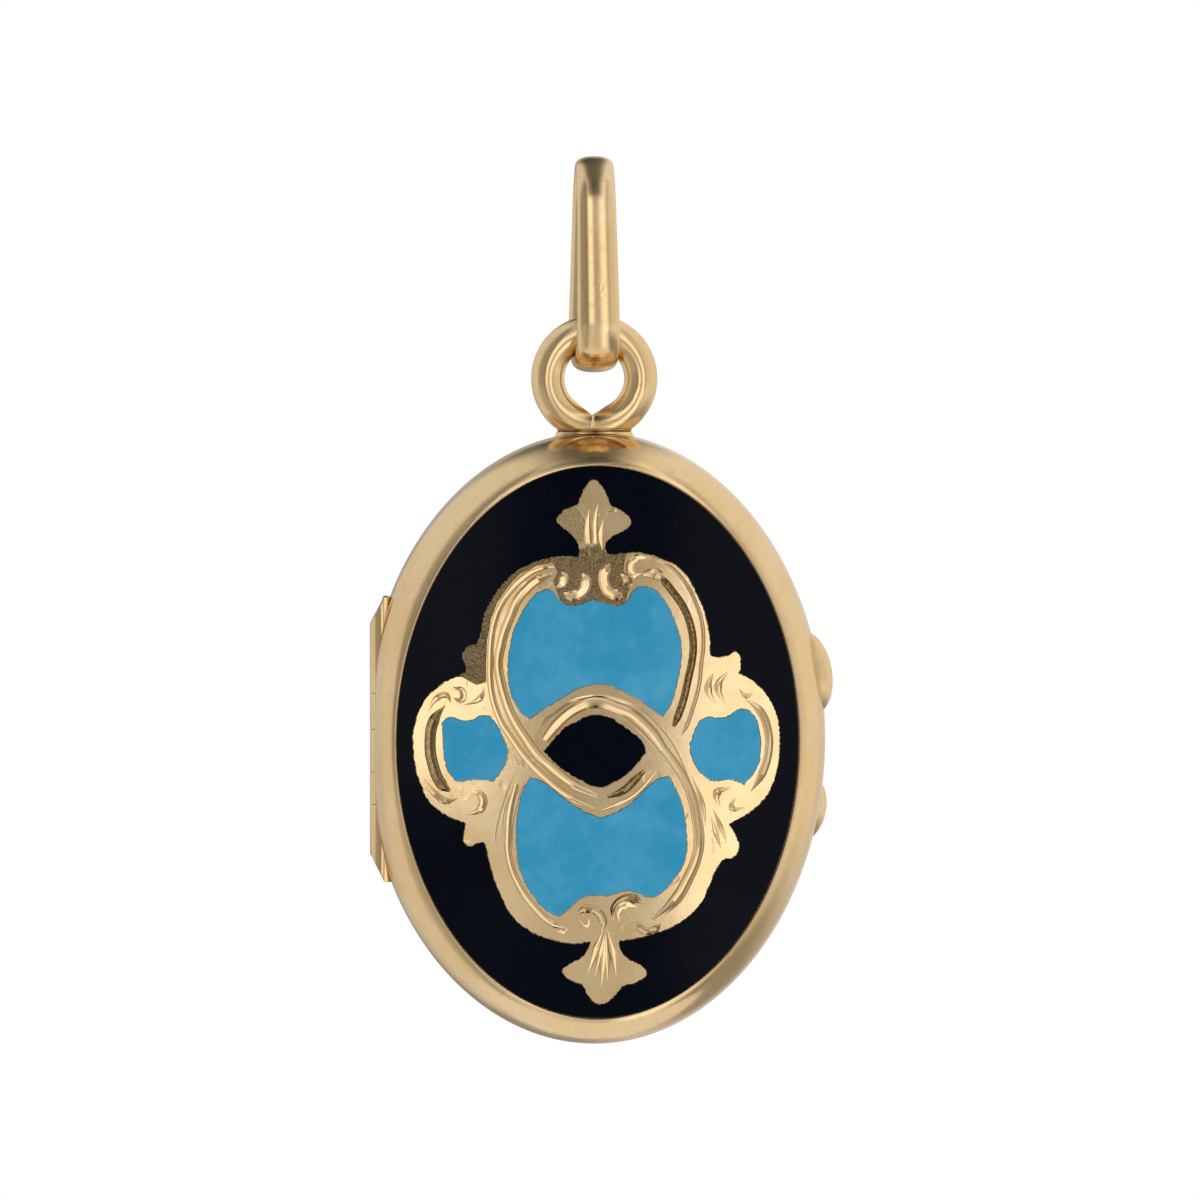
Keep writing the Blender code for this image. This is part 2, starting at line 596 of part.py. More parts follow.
def build_bail(carrier):
    """Long loop of oval wire that hangs on the chain and carries the ring."""
    section = bpy.data.curves.new("bail_section", "CURVE")
    section.dimensions = "2D"
    section.fill_mode = "NONE"
    around = []
    for step in range(BAIL_SECTION_STEPS):
        angle = 2 * math.pi * step / BAIL_SECTION_STEPS
        around.append((BAIL_THICKNESS / 2 * math.cos(angle), BAIL_WIDTH / 2 * math.sin(angle)))
    poly_spline(around)(section)
    guide = bpy.data.objects.new("bail_section", section)
    guide.hide_render = True
    collection("locket_cutters").objects.link(guide)
    path = bpy.data.curves.new("bail_path", "CURVE")
    path.dimensions = "2D"
    path.fill_mode = "NONE"
    path.bevel_mode = "OBJECT"
    path.bevel_object = guide
    poly_spline(bail_path())(path)
    loop = bpy.data.objects.new("bail_path", path)
    loop.matrix_world = Matrix.Rotation(math.pi / 2 + BAIL_TURN, 4, "Z") @ Matrix.Rotation(math.pi / 2, 4, "X")
    mesh = baked(loop)
    mesh.transform(Matrix.Translation(-CASE_CENTRE))
    add_part("bail", mesh, "gold", carrier)


def main():
    """Clears the scene and builds the locket, closed and hanging."""
    for obj in list(bpy.data.objects):
        bpy.data.objects.remove(obj)
    chain = pivot("chain_point", Vector())
    case = pivot("case_swing_axis", Vector((0, 0, SWING_Z)), chain)
    cover = pivot("cover_hinge_axis", CASE_CENTRE + Vector((HINGE_X, 0, 0)), case)
    relief = hinge_relief()
    build_bail(chain)
    build_suspension(case)
    build_back(case, relief)
    build_front(cover, relief)
    build_frame("back", BACK, case)
    build_frame("front", FRONT, cover)
    build_hinge(case, cover)
    build_catch("front_thumb_catch", FRONT, FRONT_CATCH_HEIGHT, FRONT_CATCH_LENGTH, FRONT_CATCH_PROUD, cover)
    build_catch("back_thumb_catch", BACK, BACK_CATCH_HEIGHT, BACK_CATCH_LENGTH, BACK_CATCH_PROUD, case)


main()
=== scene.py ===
"""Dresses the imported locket: carved gold, fired enamel, hinge, ring, bail and photograph frames.

Lengths are in metres unless a name says otherwise, and the enamelled front faces -Y. Pieces are shaped in
case coordinates, from the middle of the closed case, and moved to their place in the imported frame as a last
step.
"""

from __future__ import annotations

import json
import logging
import math
from dataclasses import dataclass
from enum import Enum
from typing import Any, Sequence

import bpy
import numpy as np
from mathutils import Matrix, Vector, noise

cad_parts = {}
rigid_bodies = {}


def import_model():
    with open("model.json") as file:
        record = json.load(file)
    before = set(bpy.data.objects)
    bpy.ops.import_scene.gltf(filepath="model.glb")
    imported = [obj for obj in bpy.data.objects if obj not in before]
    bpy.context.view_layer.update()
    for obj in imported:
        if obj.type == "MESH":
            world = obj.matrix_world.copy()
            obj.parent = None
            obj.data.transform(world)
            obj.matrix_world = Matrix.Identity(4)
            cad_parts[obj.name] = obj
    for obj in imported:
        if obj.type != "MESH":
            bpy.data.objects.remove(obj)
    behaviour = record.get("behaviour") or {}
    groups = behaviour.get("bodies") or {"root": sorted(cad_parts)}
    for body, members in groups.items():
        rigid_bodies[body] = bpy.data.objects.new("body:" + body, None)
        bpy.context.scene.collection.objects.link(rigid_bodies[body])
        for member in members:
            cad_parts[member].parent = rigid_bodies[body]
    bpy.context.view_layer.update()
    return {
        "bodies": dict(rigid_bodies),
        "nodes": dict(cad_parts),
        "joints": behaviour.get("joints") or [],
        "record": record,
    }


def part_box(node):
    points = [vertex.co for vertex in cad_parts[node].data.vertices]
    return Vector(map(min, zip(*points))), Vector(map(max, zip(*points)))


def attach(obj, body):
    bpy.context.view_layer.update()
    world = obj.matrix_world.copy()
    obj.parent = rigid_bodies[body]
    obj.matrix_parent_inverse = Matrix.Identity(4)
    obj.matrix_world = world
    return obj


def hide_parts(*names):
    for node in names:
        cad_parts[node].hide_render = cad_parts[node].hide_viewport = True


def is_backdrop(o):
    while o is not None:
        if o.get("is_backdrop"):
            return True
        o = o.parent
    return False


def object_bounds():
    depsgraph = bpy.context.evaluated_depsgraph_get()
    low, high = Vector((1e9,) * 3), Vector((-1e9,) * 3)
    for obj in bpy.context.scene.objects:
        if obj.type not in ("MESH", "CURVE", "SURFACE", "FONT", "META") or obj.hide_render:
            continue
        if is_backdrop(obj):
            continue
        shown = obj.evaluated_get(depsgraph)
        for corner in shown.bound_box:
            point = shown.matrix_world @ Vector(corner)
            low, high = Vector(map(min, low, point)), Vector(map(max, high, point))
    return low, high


LOG = logging.getLogger("locket")
FRAME: dict[str, Any] = {}
MM = 0.001
WELD = 1e-7
TINY = 1e-9
NOISE_MIDDLE = 0.5

Piece = bpy.types.Object
Curve = bpy.types.Curve
Point = tuple[float, float]
Span = tuple[float, float]
Colour = tuple[float, float, float, float]
Triple = tuple[float, float, float]
Outline = Sequence[Sequence[Point]]
Settings = dict[Any, Any]

WHITE: Colour = (1.0, 1.0, 1.0, 1.0)


class Side(Enum):
    """Side of the parting plane that a cover's pieces lie on."""

    FRONT = -1
    BACK = 1


class Graver(Enum):
    """Cutting tool of an engraved stroke, as (steps in a quarter of its section, depth to half width)."""

    GOUGE = (4, 0.62)
    SHAVE = (4, 0.3)
    BURIN = (0, 0.5)

    @property
    def section_steps(self) -> int:
        """Steps in a quarter of the tool's section."""
        return self.value[0]

    @property
    def depth_share(self) -> float:
        """Depth of the cut as a share of half its width."""
        return self.value[1]


# Shader graphs


class Value:
    """A shader socket whose Python operators add Math nodes."""

    def __init__(self, graph: Graph, socket: bpy.types.NodeSocket) -> None:
        """Wraps an output socket of a graph's node."""
        self.graph = graph
        self.socket = socket

    def math(self, operation: str, *others: Any) -> Value:
        """Adds a Math node on this value and further values or numbers."""
        return self.graph.maths(operation, self, *others)

    def __add__(self, other: Any) -> Value:
        """Sum."""
        return self.math("ADD", other)

    __radd__ = __add__

    def __sub__(self, other: Any) -> Value:
        """Difference."""
        return self.math("SUBTRACT", other)

    def __rsub__(self, other: Any) -> Value:
        """Difference, from the right."""
        return self.graph.maths("SUBTRACT", other, self)

    def __mul__(self, other: Any) -> Value:
        """Product."""
        return self.math("MULTIPLY", other)

    def __abs__(self) -> Value:
        """Size without its sign."""
        return self.math("ABSOLUTE")

    def between(self, low: float, high: float) -> Value:
        """Smooth step from 0 at low to 1 at high."""
        sockets = {"Value": self, "From Min": low, "From Max": high}
        return self.graph.node("ShaderNodeMapRange", {"interpolation_type": "SMOOTHSTEP"}, sockets)


@dataclass(frozen=True)
class Grain:
    """A noise pattern: its lumps per metre, how many finer layers it has and how strong they are."""

    scale: float
    detail: float = 2.0
    roughness: float = 0.5


class Graph:
    """Nodes of a material or a world, added by code."""

    MIX_SHARE, MIX_FIRST, MIX_SECOND, MIX_RESULT = 0, 6, 7, 2

    def __init__(self, tree: bpy.types.NodeTree) -> None:
        """Starts from a node tree, which is cleared."""
        self.tree = tree
        tree.nodes.clear()

    def node(
        self, kind: str, settings: Settings | None = None, sockets: Settings | None = None, output: Any = 0
    ) -> Value:
        """Adds one node.

        Args:
            kind: the node's type.
            settings: its properties.
            sockets: values or links of its inputs, by name or number.
            output: name or number of the output that is returned.

        Returns:
            That output, or the first input of a node that has no output.
        """
        made = self.tree.nodes.new(kind)
        for key, setting in (settings or {}).items():
            setattr(made, key, setting)
        for key, value in (sockets or {}).items():
            if isinstance(value, Value):
                self.tree.links.new(value.socket, made.inputs[key])
            else:
                made.inputs[key].default_value = value
        return Value(self, made.outputs[output]) if len(made.outputs) else Value(self, made.inputs[0])

    def maths(self, operation: str, *operands: Any) -> Value:
        """Adds a Math node on values or numbers."""
        return self.node("ShaderNodeMath", {"operation": operation}, dict(enumerate(operands)))

    def mix(self, share: Any, first: Any, second: Any) -> Value:
        """Mixes two colours, with the given share of the second."""
        sockets = {self.MIX_SHARE: share, self.MIX_FIRST: first, self.MIX_SECOND: second}
        return self.node("ShaderNodeMix", {"data_type": "RGBA"}, sockets, self.MIX_RESULT)

    def place(self) -> Value:
        """Object coordinates, in metres."""
        return self.node("ShaderNodeTexCoord", output="Object")

    def turned_place(self, turn: Triple, scale: Triple) -> Value:
        """Object coordinates turned by angles in degrees and stretched, for a pattern with a grain."""
        sockets = {"Vector": self.place(), "Rotation": tuple(map(math.radians, turn)), "Scale": scale}
        return self.node("ShaderNodeMapping", None, sockets)

    def noise(self, grain: Grain, place: Value | None = None) -> Value:
        """Noise over the piece, near 0.5.

        Args:
            grain: the pattern.
            place: coordinates, or none for the piece's own.

        Returns:
            The noise.
        """
        sockets = {"Vector": place or self.place(), "Scale": grain.scale, "Detail": grain.detail}
        sockets["Roughness"] = grain.roughness
        return self.node("ShaderNodeTexNoise", None, sockets)

    def attribute(self, name: str) -> Value:
        """A piece's own point value, 0 where it has none."""
        return self.node("ShaderNodeAttribute", {"attribute_name": name}, output="Fac")

    def bump(self, height: Value, distance: float, strength: float) -> Value:
        """Normal of a height from 0 to 1, which stands for a distance and shows with some strength."""
        sockets = {"Height": height, "Distance": distance, "Strength": strength}
        return self.node("ShaderNodeBump", None, sockets)

    def surface(self, **sockets: Any) -> None:
        """Ends a material with a Principled shader; underscores in names stand for spaces."""
        named = {name.replace("_", " "): value for name, value in sockets.items()}
        shader = self.node("ShaderNodeBsdfPrincipled", None, named)
        self.node("ShaderNodeOutputMaterial", None, {"Surface": shader})


# Finishes


@dataclass(frozen=True)
class Finish:
    """A finish of the locket: its name, its slot in the record and the material that it makes once."""

    name: str
    slot: str

    def material(self) -> bpy.types.Material:
        """The finish's material, made on first use.

        Returns:
            The material.
        """
        found = bpy.data.materials.get(self.name)
        if found is None:
            found = bpy.data.materials.new(self.name)
            found.use_nodes = True
            self.paint(Graph(found.node_tree))
        return found

    def paint(self, graph: Graph) -> None:
        """Adds the finish's nodes to the empty graph of its material."""
        raise NotImplementedError


@dataclass(frozen=True)
class GoldFinish(Finish):
    """Worn yellow gold: soft polish, hairline scratches, cuts with painted shade and a darker toned ground.

    The roughening holds the shares of cloud, wear, ground and cut, and the relief those of the fine grain,
    the wear, the hairlines and the ground's sand. A hairline has the way it runs, in degrees, and how rare it
    is.
    """

    colour: Colour = (0.80, 0.565, 0.285, 1.0)
    pale: Colour = (0.84, 0.625, 0.355, 1.0)
    # painted shade: the colour that the engraved cuts and the saddle's groove are darkened towards
    deep: Colour = (0.12, 0.07, 0.02, 1.0)
    toned: Colour = (0.05, 0.031, 0.009, 1.0)
    rubbed: Colour = (0.62, 0.43, 0.22, 1.0)
    polish: float = 0.18
    roughest: float = 0.75
    scratch: float = 0.00001
    scratch_strength: float = 0.55
    clouds: Grain = Grain(260.0, 4.0, 0.6)
    cloud_span: Span = (0.38, 0.66)
    fine: Grain = Grain(9000.0, 3.0, 0.6)
    fine_span: Span = (0.4, 0.62)
    fine_share: float = 0.2
    wear: Grain = Grain(2600.0, 4.0, 0.65)
    wear_span: Span = (0.5, 0.74)
    wear_share: float = 0.3
    sand: Grain = Grain(15000.0, 2.0, 0.7)
    sand_level: float = 1.25
    sand_share: float = 0.9
    cut_shade_span: Span = (0.05, 0.95)
    roughening: Sequence[float] = (0.1, 0.12, 0.2, 0.04)
    relief: Sequence[float] = (0.1, 0.25, 0.35, 4.0)
    hair: Grain = Grain(1.0, 1.0)
    hair_stretch: Triple = (500.0, 15000.0, 700.0)
    hair_edge: float = 0.05
    hairlines: Sequence[tuple[Triple, float]] = (
        ((18.0, 34.0, 8.0), 0.66), ((-25.0, 12.0, 65.0), 0.69), ((70.0, -20.0, 30.0), 0.70)
    )

    def paint(self, graph: Graph) -> None:
        """Adds the gold's nodes.

        Args:
            graph: the empty graph of its material.
        """
        cloud, fine, worn, sand = map(graph.noise, (self.clouds, self.fine, self.wear, self.sand))
        first, *others = (self._scratches(graph, turn, level) for turn, level in self.hairlines)
        hair = sum(others, first)
        cut, ground = graph.attribute("cut"), graph.attribute("ground")
        tone = graph.mix(cloud.between(*self.cloud_span), self.colour, self.pale)
        tone = graph.mix(worn.between(*self.wear_span) * self.wear_share, tone, self.rubbed)
        shade_breakup = 1.0 - fine.between(*self.fine_span) * self.fine_share
        # painted shade: marked cuts and the saddle's groove are mixed towards the deep colour, broken up by
        # the fine grain
        tone = graph.mix(cut.between(*self.cut_shade_span) * shade_breakup, tone, self.deep)
        tone = graph.mix(ground * (self.sand_level - sand * self.sand_share), tone, self.toned)
        by_cloud, by_wear, by_ground, by_cut = self.roughening
        rough = self.polish + (cloud - NOISE_MIDDLE) * by_cloud + (worn - NOISE_MIDDLE) * by_wear
        rough = rough + ground * by_ground - cut * by_cut
        by_fine, by_wear, by_hair, by_sand = self.relief
        height = fine * by_fine + worn * by_wear - hair * by_hair + ground * sand * by_sand
        graph.surface(
            Base_Color=tone,
            Metallic=1.0,
            Roughness=rough.math("MINIMUM", self.roughest),
            Normal=graph.bump(height, self.scratch, self.scratch_strength),
        )

    def _scratches(self, graph: Graph, turn: Triple, level: float) -> Value:
        """Long thin scratches that run one way, as 1 in a scratch and 0 elsewhere."""
        streaks = graph.noise(self.hair, graph.turned_place(turn, self.hair_stretch))
        return streaks.between(level, level + self.hair_edge)


@dataclass(frozen=True)
class EnamelFinish(Finish):
    """Fired enamel: glossy, softly clouded, with a few firing specks and a faintly uneven polish."""

    colour: Colour
    cloud: Colour
    speck: Colour
    polish: float
    gleam: float
    clouds: Grain = Grain(420.0, 5.0, 0.62)
    mottles: Grain = Grain(2300.0, 3.0, 0.6)
    cloud_shares: Sequence[float] = (0.7, 0.3)
    cloud_span: Span = (0.36, 0.70)
    cloud_roughness: float = 0.08
    specks_per_metre: float = 900.0
    speck_span: Span = (0.03, 0.06)
    rarity: Grain = Grain(1300.0, 1.0)
    rarity_span: Span = (0.62, 0.66)
    ripples: Grain = Grain(700.0)
    ripple_depth: float = 0.00002
    ripple_strength: float = 0.35

    def paint(self, graph: Graph) -> None:
        """Adds the enamel's nodes.

        Args:
            graph: the empty graph of its material.
        """
        cloud, mottle = graph.noise(self.clouds), graph.noise(self.mottles)
        by_cloud, by_mottle = self.cloud_shares
        share = (cloud * by_cloud + mottle * by_mottle).between(*self.cloud_span)
        tone = graph.mix(share, self.colour, self.cloud)
        sockets = {"Vector": graph.place(), "Scale": self.specks_per_metre, "Randomness": 1.0}
        dots = graph.node("ShaderNodeTexVoronoi", {"feature": "F1"}, sockets)
        rare = graph.noise(self.rarity).between(*self.rarity_span)
        tone = graph.mix((1 - dots.between(*self.speck_span)) * rare, tone, self.speck)
        graph.surface(
            Base_Color=tone,
            Roughness=self.polish + (cloud - NOISE_MIDDLE) * self.cloud_roughness,
            Specular_IOR_Level=self.gleam,
            Normal=graph.bump(graph.noise(self.ripples), self.ripple_depth, self.ripple_strength),
        )


@dataclass(frozen=True)
class CrystalFinish(Finish):
    """Clear polished glass with faint rubbing."""

    colour: Colour = (0.92, 0.95, 0.95, 1.0)
    alpha: float = 0.14
    polish: float = 0.02
    rubbing: Grain = Grain(900.0, 3.0)
    rub_span: Span = (0.5, 0.8)
    rub_roughness: float = 0.05

    def paint(self, graph: Graph) -> None:
        """Adds the glass's nodes.

        Args:
            graph: the empty graph of its material.
        """
        rub = graph.noise(self.rubbing).between(*self.rub_span)
        graph.surface(
            Base_Color=self.colour,
            Roughness=self.polish + rub * self.rub_roughness,
            Specular_IOR_Level=1.0,
            Alpha=self.alpha,
        )


@dataclass(frozen=True)
class PaperFinish(Finish):
    """Blank paper or card, softly patched, with fibres."""

    pale: Colour
    dark: Colour
    fibre: float
    fibre_strength: float = 0.5
    fibres: Grain = Grain(1.0, 4.0, 0.65)
    fibre_turn: Triple = (0.0, 30.0, 0.0)
    fibre_stretch: Triple = (4000.0, 2500.0, 1500.0)
    fibre_roughness: float = 0.2
    patches: Grain = Grain(180.0, 4.0, 0.6)
    tone_shares: Sequence[float] = (0.4, 0.6)
    tone_span: Span = (0.36, 0.66)
    polish: float = 0.75

    def paint(self, graph: Graph) -> None:
        """Adds the paper's nodes.

        Args:
            graph: the empty graph of its material.
        """
        fibres = graph.noise(self.fibres, graph.turned_place(self.fibre_turn, self.fibre_stretch))
        by_fibre, by_patch = self.tone_shares
        share = (fibres * by_fibre + graph.noise(self.patches) * by_patch).between(*self.tone_span)
        graph.surface(
            Base_Color=graph.mix(share, self.pale, self.dark),
            Roughness=self.polish + fibres * self.fibre_roughness,
            Normal=graph.bump(fibres, self.fibre, self.fibre_strength),
        )


class Finishes(Enum):
    """The locket's finishes."""

    POLISHED_GOLD = GoldFinish("polished_gold", "gold")
    CARVED_GOLD = GoldFinish("carved_gold", "gold", polish=0.1, clouds=Grain(420.0, 4.0, 0.6))
    INNER_GOLD = GoldFinish("inner_gold", "gold", polish=0.16, scratch=0.000006)
    NAVY = EnamelFinish(
        "fired_navy", "navy_enamel", (0.0004, 0.0014, 0.0052, 1.0), (0.0014, 0.003, 0.0085, 1.0),
        (0.06, 0.07, 0.09, 1.0), 0.06, 0.05
    )
    TURQUOISE = EnamelFinish(
        "fired_turquoise", "turquoise_enamel", (0.034, 0.374, 0.635, 1.0), (0.09, 0.467, 0.735, 1.0),
        (0.02, 0.12, 0.22, 1.0), 0.3, 0.12
    )
    CRYSTAL = CrystalFinish("clear_crystal", "crystal")
    PHOTO = PaperFinish("toned_paper", "photo_paper", (0.74, 0.6, 0.38, 1.0), (0.6, 0.45, 0.26, 1.0), 0.00001)
    PAD = PaperFinish("plain_card", "pad_card", (0.34, 0.26, 0.18, 1.0), (0.22, 0.16, 0.11, 1.0), 0.00003)


# Bench tools


def clear_selection() -> None:
    """Leaves edit mode and deselects every object."""
    if bpy.context.mode != "OBJECT":
        bpy.ops.object.mode_set(mode="OBJECT")
    bpy.ops.object.select_all(action="DESELECT")


def pick(piece: Piece) -> None:
    """Makes one object the only selected and active one.

    Args:
        piece: the object.
    """
    clear_selection()
    piece.select_set(True)
    bpy.context.view_layer.objects.active = piece


def edit_all(piece: Piece) -> None:
    """Opens an object in edit mode with all of it selected.

    Args:
        piece: the object.
    """
    pick(piece)
    bpy.ops.object.mode_set(mode="EDIT")
    bpy.ops.mesh.select_all(action="SELECT")


def close_up(piece: Piece) -> None:
    """Merges doubled points, turns the faces outwards and leaves edit mode.

    Args:
        piece: the object.
    """
    edit_all(piece)
    bpy.ops.mesh.remove_doubles(threshold=WELD)
    bpy.ops.mesh.normals_make_consistent(inside=False)
    bpy.ops.object.mode_set(mode="OBJECT")


def lathe(name: str, profile: Sequence[Point], steps: int, axis: str = "Y", closed: bool = False) -> Piece:
    """Turns a profile, drawn point by point, once round an axis.

    Args:
        name: the object's name.
        profile: (radius, place along the axis) points.
        steps: steps in the turn.
        axis: "Y" or "Z".
        closed: whether the profile runs back to its start.

    Returns:
        The turned object.
    """
    places = [Vector((r, h, 0) if axis == "Y" else (r, 0, h)) for r, h in profile]
    if closed:
        places.append(places[0])
    clear_selection()
    bpy.ops.mesh.primitive_plane_add(size=MM, location=(0, 0, 0))
    piece = bpy.context.object
    piece.name = name
    edit_all(piece)
    bpy.ops.mesh.merge(type="CENTER")
    bpy.ops.transform.translate(value=places[0])
    for start, end in zip(places, places[1:]):
        bpy.ops.mesh.extrude_vertices_move(TRANSFORM_OT_translate={"value": end - start})
    bpy.ops.mesh.select_all(action="SELECT")
    turn = (0, 1, 0) if axis == "Y" else (0, 0, 1)
    bpy.ops.mesh.spin(steps=steps, angle=2 * math.pi, center=(0, 0, 0), axis=turn)
    close_up(piece)
    return piece


def flat_curve(name: str, half_thickness: float = 0.0, fill: str = "BOTH") -> Curve:
    """An empty flat curve.

    Args:
        name: the curve's name.
        half_thickness: half its thickness along Z.
        fill: "BOTH" for a filled plate, "NONE" for an open line.

    Returns:
        The curve.
    """
    curve = bpy.data.curves.new(name, "CURVE")
    curve.dimensions = "2D"
    curve.fill_mode = fill
    curve.extrude = half_thickness
    return curve


def add_straight(curve: Curve, points: Sequence[Point]) -> None:
    """Adds a closed outline of straight stretches to a curve.

    Args:
        curve: the curve.
        points: the outline's points.
    """
    spline = curve.splines.new("POLY")
    spline.points.add(len(points) - 1)
    for made, place in zip(spline.points, points):
        made.co = (*place, 0, 1)
    spline.use_cyclic_u = True


def linked(name: str, curve: Curve) -> Piece:
    """A new object of a curve, in the scene.

    Args:
        name: the object's name.
        curve: the curve.

    Returns:
        The object.
    """
    piece = bpy.data.objects.new(name, curve)
    bpy.context.scene.collection.objects.link(piece)
    return piece


def as_mesh(curve: Curve, name: str) -> Piece:
    """Makes a curve a closed mesh object.

    Args:
        curve: the curve.
        name: the object's name.

    Returns:
        The object.
    """
    pick(linked(name, curve))
    bpy.ops.object.convert(target="MESH")
    piece = bpy.context.object
    close_up(piece)
    return piece


def take_away(piece: Piece, cutter: Piece) -> None:
    """Cuts one object out of another, applies the cut and removes the cutter.

    Args:
        piece: the object that is cut.
        cutter: the object that cuts it.
    """
    pick(piece)
    modifier = piece.modifiers.new("cut", "BOOLEAN")
    modifier.operation = "DIFFERENCE"
    modifier.solver = "EXACT"
    modifier.object = cutter
    bpy.ops.object.modifier_apply(modifier=modifier.name)
    bpy.data.objects.remove(cutter)


def slice_off(piece: Piece, point: Sequence[float], normal: Sequence[float]) -> None:
    """Cuts away what lies on a plane's outer side and closes the cut.

    Args:
        piece: the object.
        point: a point of the plane.
        normal: its outward direction.
    """
    edit_all(piece)
    bpy.ops.mesh.bisect(plane_co=point, plane_no=normal, use_fill=True, clear_outer=True, threshold=WELD)
    bpy.ops.object.mode_set(mode="OBJECT")


def soften(piece: Piece, width: float, steps: int, angle: float) -> None:
    """Rounds the object's edges with a Bevel modifier and applies it.

    Args:
        piece: the object.
        width: the bevel's width.
        steps: its steps.
        angle: edges sharper than this many degrees are rounded.
    """
    pick(piece)
    bevel = piece.modifiers.new("soften", "BEVEL")
    bevel.width = width
    bevel.segments = steps
    bevel.limit_method = "ANGLE"
    bevel.angle_limit = math.radians(angle)
    bpy.ops.object.modifier_apply(modifier=bevel.name)


def packed(node: str) -> Piece:
    """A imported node's object."""
    return FRAME["nodes"][node]


def coat(piece: Piece, finish: Finishes) -> None:
    """Gives an object a finish in place of what it has."""
    piece.data.materials.clear()
    piece.data.materials.append(finish.value.material())


def outfit(
    piece: Piece, finish: Finishes, body: str, nodes: Sequence[str], shift: Vector, angle: float = 32.0
) -> None:
    """Puts a finished piece in place: shading, finish, body and the nodes that it stands for.

    Args:
        piece: the object, in case coordinates.
        finish: its finish.
        body: the body that it rides on.
        nodes: the nodes that it replaces.
        shift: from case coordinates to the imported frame.
        angle: edges sharper than this many degrees stay sharp.
    """
    piece.data.transform(piece.matrix_world)
    piece.matrix_world = Matrix.Identity(4)
    piece.data.transform(Matrix.Translation(shift))
    coat(piece, finish)
    pick(piece)
    bpy.ops.object.shade_smooth_by_angle(angle=math.radians(angle))
    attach(piece, body)
    if nodes:
        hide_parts(*nodes)
    LOG.info("%s: %d faces on %s", piece.name, len(piece.data.polygons), body)


def read_points(piece: Piece) -> np.ndarray:
    """The places of a mesh's points, as rows.

    Args:
        piece: the object.

    Returns:
        The places.
    """
    flat = np.empty(len(piece.data.vertices) * 3)
    piece.data.vertices.foreach_get("co", flat)
    return flat.reshape(-1, 3)


def write_points(piece: Piece, places: np.ndarray) -> None:
    """Moves a mesh's points to new places, given as rows."""
    piece.data.vertices.foreach_set("co", places.ravel())
    piece.data.update()


def mark_points(piece: Piece, name: str, values: np.ndarray) -> None:
    """Gives each of a mesh's points a value that its finish reads."""
    piece.data.attributes.new(name, "FLOAT", "POINT").data.foreach_set("value", values)


def arc_points(steps: int, start: float, end: float) -> list[float]:
    """Angles in radians, at even steps from one angle in degrees to another."""
    return [math.radians(start + (end - start) * step / steps) for step in range(steps + 1)]


def box_corners(node: str, centre: Vector) -> tuple[Vector, Vector]:
    """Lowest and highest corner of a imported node's box, seen from a centre."""
    low, high = (Vector(corner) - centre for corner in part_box(node))
    return low, high


# Case


